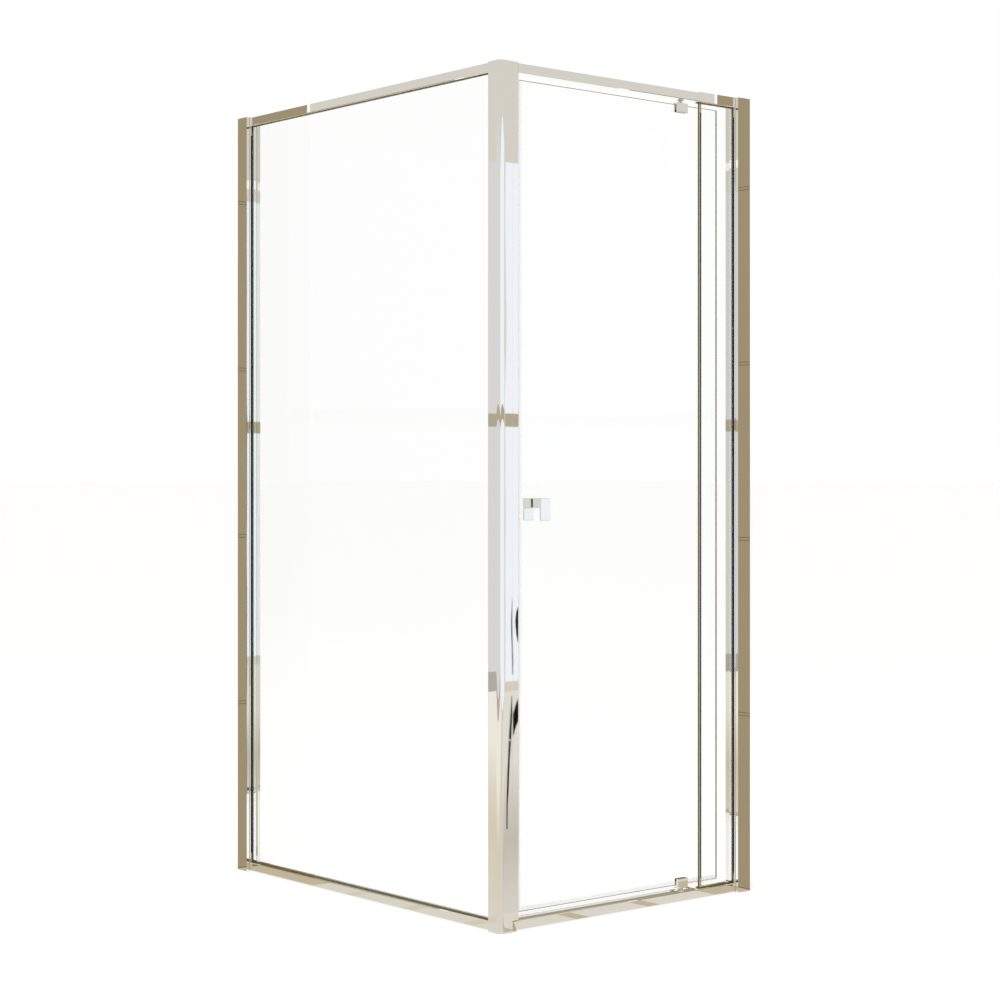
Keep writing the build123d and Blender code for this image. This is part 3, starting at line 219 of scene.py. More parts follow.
class ScreenStudio(bpy.types.PropertyGroup):
    """The studio around the screen, and the room that its chrome mirrors."""

    floor_colour: colour("Floor", "Pale floor", "#E9E8E6")
    floor_size: length("Floor size", "Side of the square floor", 900000)
    floor_lift: bpy.props.FloatProperty(
        name="Floor lift",
        description="Light of its own that brings the floor to white",
        default=0.36,
        min=0,
    )
    lens: bpy.props.FloatProperty(
        name="Lens",
        description="Focal length of the camera",
        default=77.54,
        min=1,
        subtype="DISTANCE_CAMERA",
    )
    eye: bpy.props.FloatVectorProperty(
        name="Eye",
        description="Place of the camera",
        default=(-2.944, -3.505, 0.962),
        subtype="TRANSLATION",
    )
    turn: bpy.props.FloatProperty(
        name="Turn",
        description="Turn of the camera from the front",
        default=math.radians(40.02),
        subtype="ANGLE",
    )
    drop: bpy.props.FloatProperty(
        name="Drop", description="Vertical shift of the camera", default=-0.0208
    )
    tile: colour("Wall tile", "Tiles of the two walls that hold the screen", "#A09376")
    joint: colour("Tile joint", "Joints between the wall tiles", "#7E6E56")
    ceiling: colour("Ceiling", "Ceiling of the mirrored room", "#D7D4CB")
    bright_wall: colour("Bright wall", "Daylit walls past the front's wall", "#F3F8FF")
    grey_wall: colour("Grey wall", "Shaded walls past the side's wall", "#DBD9D9")
    tray: colour("Tray", "White shower tray inside the screen", "#FFFFFF")
    side_near: colour("Side floor, near", "Floor beside the side panel", "#DCD7CA")
    side_deep: colour("Side floor, deep", "Side floor in the room's deepest shade", "#D7CDB9")
    side_far: colour("Side floor, far", "Floor below the shaded walls", "#F1ECE1")
    front_near: colour("Front floor, near", "Floor before the door", "#DED9CF")
    front_deep: colour("Front floor, deep", "Front floor in the room's deepest shade", "#C4BEB4")
    front_far: colour("Front floor, far", "Floor below the bright walls", "#E3E0D8")
    side_joint: colour("Side joint", "Soft joints of the floor tiles by the side", "#D6CEBC")
    front_joint: colour("Front joint", "Soft joints of the floor tiles by the front", "#C3B79D")
    # Painted shade: the mirrored floor darkens close to the tiled walls
    wall_foot_shade: colour("Wall's foot", "Floor close to the tiled walls", "#C4B89F")
    bright_skirting: colour("Bright skirting", "Skirting of the daylit walls", "#D6D1C4")
    grey_skirting: colour("Grey skirting", "Skirting of the shaded walls", "#B4ADA7")
    door_frame: colour("Door frame", "Beige door frame in the daylit wall", "#D6D1C4")
    dark: colour("Dark things", "Dark things in the mirrored room", "#0B0B0A")
    trim: colour("Trim", "White trims and plaster of the tiled walls", "#FFFFFF")
    border: colour("Border", "Beige border along the room's far walls", "#B4A993")
    skirting_height: length("Skirting height", "Height of the shaded walls' skirtings", 90)
    deep_reach: length("Deep reach", "Distance from the screen to the deepest shade", 900)
    far_reach: length("Far reach", "Distance from the screen to the bright far floor", 2100)
    floor_tile: length("Floor tile", "Distance between the joints of the floor tiles", 216)
    floor_gap: length("Floor gap", "Width of the joints of the floor tiles", 38)
    near_reach: length("Near reach", "Width of the strip of floor by the low rails", 150)
    room_reach: length("Room reach", "Distance from the screen to the far walls", 4000)
    room_height: length("Room height", "Height of the mirrored room", 2400)
    side_nib: length("Side nib", "How far the side's wall runs on past the screen", 193)
    front_nib: length("Front nib", "How far the front's wall runs on past the screen", 92)
    inside_height: length("Inside height", "Height of the tiles inside the screen", 1500)
    trim_width: length("Trim width", "Width of the white trims", 9)
    border_height: length("Border height", "Height of the middle of the border", 1230)
    border_width: length("Border width", "Width of the border", 60)
    tile_height: length("Tile height", "Height of one row of wall tiles", 411)
    tile_joint: length("Tile joint", "Distance between the two edges of a tile joint", 7)
    joint_line: length("Joint line", "Width of the dark line at each edge of a joint", 2)


def add_node(tree, kind, inputs=None, **settings):
    """Add a node with its own settings, and with values or links on its inputs."""
    made = tree.nodes.new(kind)
    for name, value in settings.items():
        setattr(made, name, value)
    for name, value in (inputs or {}).items():
        if isinstance(value, bpy.types.NodeSocket):
            tree.links.new(value, made.inputs[name])
        else:
            made.inputs[name].default_value = value
    return made


def new_material(name):
    """An empty node material with its output; a second run starts it again."""
    material = bpy.data.materials.get(name) or bpy.data.materials.new(name)
    material.use_nodes = True
    material.node_tree.nodes.clear()
    output = add_node(material.node_tree, "ShaderNodeOutputMaterial")
    return material, material.node_tree, output


def principled(tree, output, inputs):
    """Give a material one principled surface."""
    shader = add_node(tree, "ShaderNodeBsdfPrincipled", inputs)
    tree.links.new(shader.outputs["BSDF"], output.inputs["Surface"])


def maths(tree, operation, *values):
    """The result of one sum on numbers or links."""
    made = add_node(tree, "ShaderNodeMath", dict(enumerate(values)), operation=operation)
    return made.outputs["Value"]


def blend(tree, factor, first, second):
    """A colour between two others."""
    inputs = {"Factor": factor, "A": first, "B": second}
    # A mix node's third result is the one for colours
    return add_node(tree, "ShaderNodeMix", inputs, data_type="RGBA").outputs[2]


def mix(tree, factor, first, second):
    """One of two shaders, or both in shares."""
    return add_node(tree, "ShaderNodeMixShader", {0: factor, 1: first, 2: second}).outputs["Shader"]


def shaded(tone, share, lift=0.0):
    """A colour at a share of its light, lifted by a little white."""
    return [share * channel + lift for channel in tone[:3]] + [1.0]


def parts_of(tree, kind):
    """The X, Y and Z of the object's own coordinates or normals."""
    coordinates = add_node(tree, "ShaderNodeTexCoord")
    parts = add_node(tree, "ShaderNodeSeparateXYZ", {"Vector": coordinates.outputs[kind]})
    return parts.outputs


def repeats(tree, x_mm, y_mm, z_mm):
    """Object coordinates counted in pattern repeats, so a noise of scale 1 has that size."""
    coordinates = add_node(tree, "ShaderNodeTexCoord")
    scale = (MM_PER_M / x_mm, MM_PER_M / y_mm, MM_PER_M / z_mm)
    inputs = {"Vector": coordinates.outputs["Object"], "Scale": scale}
    return add_node(tree, "ShaderNodeMapping", inputs).outputs["Vector"]


def drawn(tree, along, long_mm, wide_mm):
    """Repeats that are long along an extrusion and narrow across it."""
    sizes = [wide_mm] * 3
    sizes["XYZ".index(along)] = long_mm
    return repeats(tree, *sizes)


def noise(tree, vector, detail=2.0, roughness=0.5):
    """The plain value of a noise over pattern repeats."""
    inputs = {"Vector": vector, "Scale": 1.0, "Detail": detail, "Roughness": roughness}
    return add_node(tree, "ShaderNodeTexNoise", inputs).outputs["Fac"]


def spread(tree, value, low=0.0, high=1.0, start=0.3, end=0.7):
    """Spread a value's range, by default the middle of a noise, over the range from low to high."""
    inputs = {"Value": value, "From Min": start, "From Max": end, "To Min": low, "To Max": high}
    return add_node(tree, "ShaderNodeMapRange", inputs).outputs["Result"]


def relief(tree, height, depth_mm, below=None):
    """A bump of a real depth, on top of another one."""
    inputs = {"Height": height, "Strength": 1.0, "Distance": depth_mm / MM_PER_M}
    if below is not None:
        inputs["Normal"] = below
    return add_node(tree, "ShaderNodeBump", inputs).outputs["Normal"]


def looked_at(tree):
    """1 for light that the eye gets directly, off a mirror or through glass, and 0 for the rest."""
    rays = add_node(tree, "ShaderNodeLightPath").outputs
    seen = maths(tree, "MAXIMUM", rays["Is Camera Ray"], rays["Is Glossy Ray"])
    return maths(tree, "MAXIMUM", seen, rays["Is Transmission Ray"])


def met_mirror(tree):
    """1 for light that has met a mirror on its way to the eye, and 0 for the rest."""
    rays = add_node(tree, "ShaderNodeLightPath")
    return maths(tree, "GREATER_THAN", rays.outputs["Glossy Depth"], 0.5)


def drawn_chrome(along, finishes, sizes):
    """Chromed aluminium extrusion, pressed through a die and polished.

    The eye gets a sharp mirror that sways slowly along the bar, with faint wipe marks.
    """
    material, tree, output = new_material(f"bright_chromed_aluminium_drawn_{along.lower()}")
    waves = (sizes.ripple_length * MM_PER_M, sizes.ripple_width * MM_PER_M)
    ripple = noise(tree, drawn(tree, along, *waves), detail=1.0)
    swayed = relief(tree, ripple, sizes.ripple_depth * MM_PER_M)
    # Die lines are hundredths of a millimetre apart, so they are drawn at 1.5 mm to show at all
    lines = noise(tree, drawn(tree, along, long_mm=900, wide_mm=1.5), detail=3.0)
    wiped = noise(tree, repeats(tree, 160, 160, 110), detail=3.0, roughness=0.6)
    inputs = {
        "Base Color": finishes.chrome,
        "Metallic": 1.0,
        "Roughness": spread(tree, wiped, low=0.004, high=0.02),
        "Normal": relief(tree, lines, depth_mm=0.0006, below=swayed),
    }
    principled(tree, output, inputs)
    return material


def plated_zinc(name, tone):
    """Chrome-plated zinc die casting, buffed before plating.

    The eye gets a deeper mirror than the extrusions', with the soft dimpling of a buffed casting.
    """
    material, tree, output = new_material(name)
    dimples = noise(tree, repeats(tree, 5, 5, 5), detail=2.0)
    smears = noise(tree, repeats(tree, 14, 14, 9), detail=3.0, roughness=0.6)
    inputs = {
        "Base Color": tone,
        "Metallic": 1.0,
        "Roughness": spread(tree, smears, low=0.015, high=0.06),
        "Normal": relief(tree, dimples, depth_mm=0.004),
    }
    principled(tree, output, inputs)
    return material


def turned_steel(finishes):
    """Stainless steel, cold-headed and turned.

    The eye gets a satin grey metal, broken up by fine marks all over the screws.
    """
    material, tree, output = new_material("turned_stainless_steel")
    marks = noise(tree, repeats(tree, 0.8, 0.8, 0.8), detail=4.0, roughness=0.7)
    inputs = {
        "Base Color": finishes.steel,
        "Metallic": 1.0,
        "Roughness": spread(tree, marks, low=0.2, high=0.36),
        "Normal": relief(tree, marks, depth_mm=0.01),
    }
    principled(tree, output, inputs)
    return material


def cast_aluminium(finishes):
    """Aluminium pressure casting, left as cast.

    The eye gets a dull grey skin with a fine grain and cloudy flow marks.
    """
    material, tree, output = new_material("as_cast_aluminium")
    grain = noise(tree, repeats(tree, 0.9, 0.9, 0.9), detail=3.0, roughness=0.6)
    flow = noise(tree, repeats(tree, 22, 22, 8), detail=3.0, roughness=0.6)
    pale = finishes.casting
    inputs = {
        "Base Color": blend(tree, spread(tree, flow), shaded(pale, CASTING_SHADE), pale),
        "Metallic": 1.0,
        "Roughness": spread(tree, grain, low=0.42, high=0.6),
        "Normal": relief(tree, grain, depth_mm=0.04),
    }
    principled(tree, output, inputs)
    return material


def clear_glass(name, facing, finishes, sizes):
    """Float glass, ground at its edges and toughened.

    The eye gets a clear pane with the slow waves of the toughening rollers in its reflections, and
    a frosted olive line where it meets an edge on end.
    """
    material, tree, output = new_material(name)
    normals = add_node(tree, "ShaderNodeTexCoord").outputs["Normal"]
    across = add_node(
        tree, "ShaderNodeVectorMath", {0: normals, 1: facing}, operation="DOT_PRODUCT"
    )
    flat = maths(tree, "ABSOLUTE", across.outputs["Value"])
    on_edge = maths(tree, "LESS_THAN", flat, EDGE_COSINE)
    rise = maths(tree, "ABSOLUTE", parts_of(tree, "Normal")["Z"])
    # Top and bottom edges take the darker level-edge tone: painted shade from the rails over them
    edge = blend(tree, rise, finishes.glass_edge, finishes.level_edge)
    ground = noise(tree, repeats(tree, 0.7, 0.7, 0.7), detail=3.0)
    frost = spread(tree, ground, low=0.2, high=0.4)
    wave_mm = sizes.roller_wave * MM_PER_M
    wave = noise(tree, repeats(tree, wave_mm, wave_mm, 900), detail=0.0)
    inputs = {
        "Base Color": blend(tree, on_edge, finishes.glass, edge),
        "Roughness": maths(tree, "MULTIPLY", on_edge, frost),
        "IOR": PANE_IOR,
        "Transmission Weight": spread(tree, on_edge, 1.0, EDGE_CLEARNESS, start=0, end=1),
        "Normal": relief(tree, wave, depth_mm=0.04),
    }
    pane = add_node(tree, "ShaderNodeBsdfPrincipled", inputs)
    # Daylight passes a pane without a dark shadow, and mirrored light without a bend
    rays = add_node(tree, "ShaderNodeLightPath").outputs
    unlit = maths(tree, "MAXIMUM", rays["Is Shadow Ray"], rays["Is Diffuse Ray"])
    straight = maths(tree, "MAXIMUM", unlit, met_mirror(tree))
    passed = add_node(tree, "ShaderNodeBsdfTransparent", {"Color": finishes.glass})
    mixed = mix(tree, straight, pane.outputs["BSDF"], passed.outputs["BSDF"])
    tree.links.new(mixed, output.inputs["Surface"])
    return material


def gasket_rubber(finishes):
    """EPDM rubber, extruded: black up the jambs and the post, and along the rails a painted
    reflection in brown.

    The eye gets a matt line with a dusty bloom and a fine grain.
    """
    material, tree, output = new_material("extruded_black_rubber")
    bloom = noise(tree, repeats(tree, 9, 9, 30), detail=4.0, roughness=0.65)
    grain = noise(tree, repeats(tree, 0.6, 0.6, 0.6), detail=2.0)
    dusty = shaded(finishes.rubber, BLOOM_GAIN, BLOOM_LIFT)
    tone = blend(tree, spread(tree, bloom, high=0.7), finishes.rubber, dusty)
    # Along the top and bottom rails the black rubber is painted brown: a painted reflection and
    # highlight
    middle = (CAD_BOX[0][2] + CAD_BOX[1][2]) / 2
    height = parts_of(tree, "Object")["Z"]
    upright = maths(tree, "COMPARE", height, middle, middle - RAIL_HEIGHT)
    inputs = {
        "Base Color": blend(tree, upright, finishes.rail_gasket_reflection, tone),
        "Roughness": spread(tree, bloom, low=0.5, high=0.68),
        "IOR": 1.52,
        "Normal": relief(tree, grain, depth_mm=0.02),
    }
    principled(tree, output, inputs)
    return material


def soft_clear_pvc(finishes):
    """Soft clear PVC, extruded.

    The eye gets a see-through strip, a little milky, that catches light along its folds.
    """
    material, tree, output = new_material("soft_clear_pvc")
    flow = noise(tree, repeats(tree, 4, 4, 60), detail=2.0)
    inputs = {
        "Base Color": finishes.clear_seal,
        "Roughness": spread(tree, flow, low=0.08, high=0.2),
        "IOR": 1.53,
        # Thin walls hardly bend the light, so the strip is see-through without refraction
        "Alpha": 0.12,
        "Normal": relief(tree, flow, depth_mm=0.02),
    }
    principled(tree, output, inputs)
    return material


def moulded(name, tone, roughness, grain_mm, depth_mm):
    """Injection-moulded plastic, with a range of roughness and a spark-eroded grain."""
    material, tree, output = new_material(name)
    grain = noise(tree, repeats(tree, grain_mm, grain_mm, grain_mm), detail=3.0)
    flow = noise(tree, repeats(tree, 18, 18, 18), detail=3.0)
    inputs = {
        "Base Color": blend(tree, spread(tree, flow), shaded(tone, MOULDING_SHADE), tone),
        "Roughness": spread(tree, grain, *roughness),
        "IOR": 1.5,
        "Normal": relief(tree, grain, depth_mm),
    }
    principled(tree, output, inputs)
    return material


def finish(material, *nodes):
    """Give CAD nodes one material."""
    for name in nodes:
        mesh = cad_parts[name].data
        mesh.materials.clear()
        mesh.materials.append(material)


def islands(name):
    """The boxes of a CAD node's separate solids, each as its lowest and highest corner."""
    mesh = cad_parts[name].data
    keys = [tuple(round(at, POINT_DECIMALS) for at in vertex.co) for vertex in mesh.vertices]
    root = {key: key for key in keys}

    def find(key):
        while root[key] != key:
            root[key] = root[root[key]]
            key = root[key]
        return key

    for edge in mesh.edges:
        root[find(keys[edge.vertices[0]])] = find(keys[edge.vertices[1]])
    groups = {}
    for key in keys:
        groups.setdefault(find(key), []).append(Vector(key))
    boxes = []
    for points in groups.values():
        low = Vector(min(point[axis] for point in points) for axis in range(3))
        high = Vector(max(point[axis] for point in points) for axis in range(3))
        boxes.append((low, high))
    return sorted(boxes, key=lambda box: tuple(box[0]))


def lathe(shell, profile):
    """Turn a profile of (radius, height) points round the z axis into a closed bmesh."""
    rings = []
    for radius, height in profile:
        if radius == 0:
            rings.append([shell.verts.new((0, 0, height))])
            continue
        ring = []
        for step in range(LATHE_STEPS):
            angle = 2 * math.pi * step / LATHE_STEPS
            place = (radius * math.cos(angle), radius * math.sin(angle), height)
            ring.append(shell.verts.new(place))
        rings.append(ring)
    for lower, upper in zip(rings, rings[1:]):
        for step in range(LATHE_STEPS):
            after = (step + 1) % LATHE_STEPS
            if len(lower) == 1:
                shell.faces.new((lower[0], upper[step], upper[after]))
            elif len(upper) == 1:
                shell.faces.new((lower[step], lower[after], upper[0]))
            else:
                shell.faces.new((lower[step], lower[after], upper[after], upper[step]))


def prism(shell, outline, low, high, taper=1.0):
    """A closed prism on an outline, drawn in at its low end by the taper."""
    foot = [shell.verts.new((x * taper, y * taper, low)) for x, y in outline]
    head = [shell.verts.new((x, y, high)) for x, y in outline]
    shell.faces.new(reversed(foot))
    shell.faces.new(head)
    for step in range(len(outline)):
        after = (step + 1) % len(outline)
        shell.faces.new((foot[step], foot[after], head[after], head[step]))


def placed(name, data):
    """Link a mesh, a lamp or a camera as a new object."""
    made = bpy.data.objects.new(name, data)
    bpy.context.scene.collection.objects.link(made)
    return made


def object_from(name, shell):
    """Link a bmesh as a new object."""
    mesh = bpy.data.meshes.new(name)
    bmesh.ops.recalc_face_normals(shell, faces=shell.faces)
    shell.to_mesh(mesh)
    shell.free()
    return placed(name, mesh)


def cut(piece, tool):
    """Cut a tool out of a piece and leave the plain result."""
    modifier = piece.modifiers.new("cut", "BOOLEAN")
    modifier.operation = "DIFFERENCE"
    modifier.solver = "EXACT"
    modifier.object = tool
    bpy.context.view_layer.update()
    evaluated = piece.evaluated_get(bpy.context.evaluated_depsgraph_get())
    carved = bpy.data.meshes.new_from_object(evaluated)
    piece.modifiers.clear()
    piece.data = carved
    bpy.data.objects.remove(tool)
    if not carved.polygons:
        raise RuntimeError(f"{piece.name} was cut away")


def pan_head(radius, height):
    """The outline of a domed head."""
    return [(radius * out, height * up) for out, up in PAN_HEAD]


def cheese_head(radius, height):
    """The outline of a straight head with soft corners."""
    soft = radius * SOFT_CORNER
    outline = [(radius - soft, 0), (radius, soft), (radius, height - soft)]
    return [*outline, (radius - soft, height), (0, height)]


def screw_blank(name, head, radius, long):
    """A screw with a shank of a radius and length, whose head's seat is at height 0."""
    shell = bmesh.new()
    start = -long + radius * TIP_HEIGHT
    turns = max(LEAST_TURNS, int(long / THREAD_PITCH))
    pitch = (long - radius) / turns
    thread = []
    for turn in range(turns):
        foot = start + turn * pitch
        thread.append((radius * ROOT_RADIUS, foot + pitch * ROOT_HEIGHT))
        thread.append((radius, foot + pitch * CREST_HEIGHT))
    tip = [(0, -long), (radius * TIP_RADIUS, -long), (radius, start)]
    lathe(shell, [*tip, *thread, (radius * NECK_RADIUS, -NECK_DROP), *head])
    return object_from(name, shell)


def cross_recess(sizes, top):
    """The cutter of a cross recess."""
    shell = bmesh.new()
    half, blade = sizes.cross_span / 2, sizes.cross_width / 2
    foot, high = top - sizes.cross_depth, top + CUTTER_RISE
    outline = [(half, blade), (-half, blade), (-half, -blade), (half, -blade)]
    prism(shell, outline, foot, high, CROSS_TAPER)
    prism(shell, [(-y, x) for x, y in outline], foot, high, CROSS_TAPER)
    return object_from("cross_recess", shell)


def hexagon_socket(sizes, top):
    """The cutter of a hexagon socket."""
    shell = bmesh.new()
    corner = sizes.socket_span / math.sqrt(3)
    angles = [math.pi / 3 * step for step in range(6)]
    outline = [(corner * math.cos(angle), corner * math.sin(angle)) for angle in angles]
    prism(shell, outline, top - sizes.socket_depth, top + CUTTER_RISE)
    return object_from("hexagon_socket", shell)


# The screws that show: node, name of the new piece, body, shank's radius, which the node's boxes
# don't give, head's height, and what draws the head and cuts its recess
SCREWS = (
    ("rail_screws", "rail_pan_screws", "frame", 0.00195, 0.0022, pan_head, cross_recess),
    ("strike_jamb_screws", "strike_pan_screws", "frame", 0.00195, 0.0022, pan_head, cross_recess),
    ("clamp_screws", "clamp_socket_screws", "door", 0.002, 0.002, cheese_head, hexagon_socket),
)


def screw_set(node, name, body, shank_radius, head_height, head, recess, sizes, material):
    """Build a detailed screw in place of each solid of a node, with its head at the high end."""
    made = []
    for low, high in islands(node):
        size = high - low
        axis = max(range(3), key=lambda index: size[index])
        outline = head(size[(axis + 1) % 3] / 2, head_height)
        blank = screw_blank(name, outline, shank_radius, size[axis] - head_height)
        cut(blank, recess(sizes, head_height))
        seat = (low + high) / 2
        seat[axis] = high[axis] - head_height
        pointing = Vector(1.0 if index == axis else 0.0 for index in range(3))
        turn = Vector((0, 0, 1)).rotation_difference(pointing).to_matrix().to_4x4()
        blank.data.transform(Matrix.Translation(seat) @ turn)
        made.append(blank)
    shell = bmesh.new()
    for blank in made:
        shell.from_mesh(blank.data)
        bpy.data.objects.remove(blank)
    piece = object_from(name, shell)
    piece.data.shade_smooth()
    piece.data.set_sharp_from_angle(angle=SHARP_EDGE)
    piece.data.materials.append(material)
    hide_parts(node)
    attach(piece, body)
    return piece


def swatches(context):
    """The scene's finishes and sizes."""
    return context.scene.screen_finishes, context.scene.screen_sizes


class ScreenExtrusions(bpy.types.Operator):
    """Finish the chromed extrusions, each with its drawing marks along its own length."""

    bl_idname = "shower_screen.extrusions"
    bl_label = "Extrusions"

    def execute(self, context):
        finishes, sizes = swatches(context)
        uprights = ("corner_post", "side_wall_channel", "front_wall_channel")
        uprights += ("side_jamb", "inline_jamb", "strike_jamb")
        finish(drawn_chrome("Z", finishes, sizes), *uprights)
        crosswise = ("door_header", "door_sill", "inline_top_rail", "inline_bottom_rail")
        finish(drawn_chrome("X", finishes, sizes), *crosswise)
        finish(drawn_chrome("Y", finishes, sizes), "side_top_rail", "side_bottom_rail")
        return {"FINISHED"}


class ScreenFittings(bpy.types.Operator):
    """Finish the plated caps, covers, handles and pivot clamps."""

    bl_idname = "shower_screen.fittings"
    bl_label = "Handles and clamps"

    def execute(self, context):
        finishes, _ = swatches(context)
        caps = ("post_top_cap", "side_screw_covers", "front_screw_covers")
        clamps = ("top_clamp_outer", "top_clamp_inner", "bottom_clamp_outer", "bottom_clamp_inner")
        bright = plated_zinc("chrome_plated_zinc", finishes.plated)
        finish(bright, *caps, *clamps, "handle_outer", "handle_inner")
        # The shoe's slope is painted warmer and darker than the bright plating beside it: a painted
        # reflection
        finish(plated_zinc("plated_zinc_painted_reflection", finishes.shoe), "sill_end_shoe")
        return {"FINISHED"}


class ScreenGlass(bpy.types.Operator):
    """Finish the three panes, whose edges are ground and whose faces are polished."""

    bl_idname = "shower_screen.glass"
    bl_label = "Glass"

    def execute(self, context):
        finishes, sizes = swatches(context)
        finish(clear_glass("toughened_glass_side", SIDE_FACING, finishes, sizes), "side_glass")
        front = clear_glass("toughened_glass_front", FRONT_FACING, finishes, sizes)
        finish(front, "inline_glass", "door_glass")
        return {"FINISHED"}


class ScreenSeals(bpy.types.Operator):
    """Finish the rubber gaskets and the clear strips."""

    bl_idname = "shower_screen.seals"
    bl_label = "Gaskets and seals"

    def execute(self, context):
        finishes, _ = swatches(context)
        black = ("side_outer_gasket", "inline_outer_gasket", "inline_edge_seal", "strike_seal")
        pads = ("strike_foot_pad", "clamp_gaskets", "setting_blocks")
        finish(gasket_rubber(finishes), *black, *pads)
        clear = ("side_inner_gasket", "inline_inner_gasket", "door_edge_seal", "door_drip_seal")
        finish(soft_clear_pvc(finishes), *clear, "handle_washers")
        return {"FINISHED"}


class ScreenInnerParts(bpy.types.Operator):
    """Finish the connectors, carriers, bushes and plugs inside the frame."""

    bl_idname = "shower_screen.inner_parts"
    bl_label = "Inner parts"

    def execute(self, context):
        finishes, _ = swatches(context)
        castings = ("rail_connectors", "header_connector", "header_joiner", "sill_joiner")
        carriers = ("header_pivot_carrier", "sill_pivot_carrier")
        finish(cast_aluminium(finishes), *castings, *carriers)
        # White acetal bushes, turned: a smooth waxy plastic with hardly any grain
        acetal = {"roughness": (0.32, 0.45), "grain_mm": 1.2, "depth_mm": 0.003}
        bush = moulded("white_acetal", finishes.bush, **acetal)
        finish(bush, "header_pivot_bush", "sill_pivot_bush")
        # Grey nylon plugs with glass fibre in them: a dry, slightly mottled moulding
        nylon = {"roughness": (0.5, 0.68), "grain_mm": 0.9, "depth_mm": 0.015}
        plug = moulded("grey_filled_nylon", finishes.plug, **nylon)
        finish(plug, "jamb_plugs", "channel_plugs", "strike_jamb_plug")
        # Off-white polypropylene foot: waxier than the nylon, with a finer grain
        polypropylene = {"roughness": (0.4, 0.55), "grain_mm": 0.7, "depth_mm": 0.006}
        foot = moulded("white_polypropylene", finishes.foot, **polypropylene)
        finish(foot, "post_foot_cap")
        return {"FINISHED"}


class ScreenScrews(bpy.types.Operator):
    """Build the screws that show with their recesses, and finish the pins and the others."""

    bl_idname = "shower_screen.screws"
    bl_label = "Screws and pins"

    def execute(self, context):
        finishes, sizes = swatches(context)
        steel = turned_steel(finishes)
        pins = ("top_pivot_pin", "bottom_pivot_pin", "handle_bolt")
        hidden = ("side_fixing_screws", "front_fixing_screws", "header_connector_screws")
        finish(steel, *pins, *hidden)
        for kind in SCREWS:
            screw_set(*kind, sizes, steel)
        return {"FINISHED"}


def sheet(name, corners, material):
    """A new object with one flat face."""
    mesh = bpy.data.meshes.new(name)
    mesh.from_pydata([Vector(corner) for corner in corners], [], [range(len(corners))])
    mesh.materials.append(material)
    return placed(name, mesh)


def level_corners(start, end, height):
    """The corners of a level rectangle between two opposite ones."""
    (left, near), (right, far) = start, end
    return [(x, y, height) for x, y in ((left, near), (right, near), (right, far), (left, far))]


def card(name, corners, material):
    """A flat card for mirrors to see: no light, no shadow, and its material hides it from views."""
    made = sheet(name, corners, material)
    made.visible_camera = False
    made.visible_diffuse = False
    made.visible_shadow = False


def wall_card(name, start, end, height, material, foot=0):
    """An upright card over a line on the floor, from its foot up to its height."""
    card(name, [(*start, foot), (*end, foot), (*end, height), (*start, height)], material)


def level_card(name, start, end, height, material):
    """A level card between two corners."""
    card(name, level_corners(start, end, height), material)


def mirrored(tree, output, tone):
    """Show a tone only to light that has met a mirror, so that no card shows through glass."""
    unseen = add_node(tree, "ShaderNodeBsdfTransparent")
    light = add_node(tree, "ShaderNodeEmission", {"Color": tone})
    shown = mix(tree, met_mirror(tree), unseen.outputs["BSDF"], light.outputs["Emission"])
    tree.links.new(shown, output.inputs["Surface"])


def plain_card(name, tone):
    """One even colour for a card."""
    material, tree, output = new_material(name)
    mirrored(tree, output, tone)
    return material


def banded_card(name, tone, studio):
    """A tone with the room's beige border along it."""
    material, tree, output = new_material(name)
    level = parts_of(tree, "Object")["Z"]
    band = maths(tree, "COMPARE", level, studio.border_height, studio.border_width / 2)
    mirrored(tree, output, blend(tree, band, tone, studio.border))
    return material


def jointed_card(name, tones, axis, start, period, edge, line):
    """Tiles with a joint in each period along an axis, drawn as a line around each joint's edge."""
    material, tree, output = new_material(name)
    counted = maths(tree, "SUBTRACT", parts_of(tree, "Object")[axis], start)
    level = maths(tree, "PINGPONG", counted, period / 2)
    joint = maths(tree, "COMPARE", level, edge, line / 2)
    mirrored(tree, output, blend(tree, joint, *tones))
    return material


def graded_card(name, axis, edge, tones, studio):
    """A floor that darkens from the screen to its deepest shade and brightens again beyond."""
    material, tree, output = new_material(name)
    near, deep, far = tones
    place = parts_of(tree, "Object")[axis]
    deepest = edge - studio.deep_reach
    deepened = spread(tree, place, start=edge, end=deepest)
    brightened = spread(tree, place, start=deepest, end=edge - studio.far_reach)
    mirrored(tree, output, blend(tree, brightened, blend(tree, deepened, near, deep), far))
    return material


def wall_ring(word, reach, bright, bright_height, grey, grey_height):
    """Upright cards round the room: two on its daylit sides and two on its shaded ones."""
    right_near, left_far = (reach, -reach), (-reach, reach)
    right_far, left_near = (reach, reach), (-reach, -reach)
    wall_card(f"card_right_{word}", right_near, right_far, bright_height, bright)
    wall_card(f"card_near_{word}", left_near, right_near, bright_height, bright)
    wall_card(f"card_left_{word}", left_near, left_far, grey_height, grey)
    wall_card(f"card_far_{word}", left_far, right_far, grey_height, grey)


def mirrored_room(studio):
    """Cards where the room's walls, ceiling and floor were, so the chrome mirrors no void.

    The two walls that the screen is fixed to run on a little past it, and the room is open beyond.
    """
    side_box, front_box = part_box("side_wall_channel"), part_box("front_wall_channel")
    side, front = side_box[0][0], front_box[0][1]
    right, back = front_box[1][0], side_box[1][1]
    lay_tiled_walls(studio, side, front, right, back)
    reach, height = studio.room_reach, studio.room_height
    bright = banded_card("card_bright_wall", studio.bright_wall, studio)
    grey = banded_card("card_grey_wall", studio.grey_wall, studio)
    wall_ring("wall", reach, bright, height, grey, height)
    ceiling = plain_card("card_ceiling", studio.ceiling)
    level_card("card_ceiling", (-reach, -reach), (reach, reach), height, ceiling)
    lay_room_floor(studio, side, front, right, back)
    furnish_room(studio)


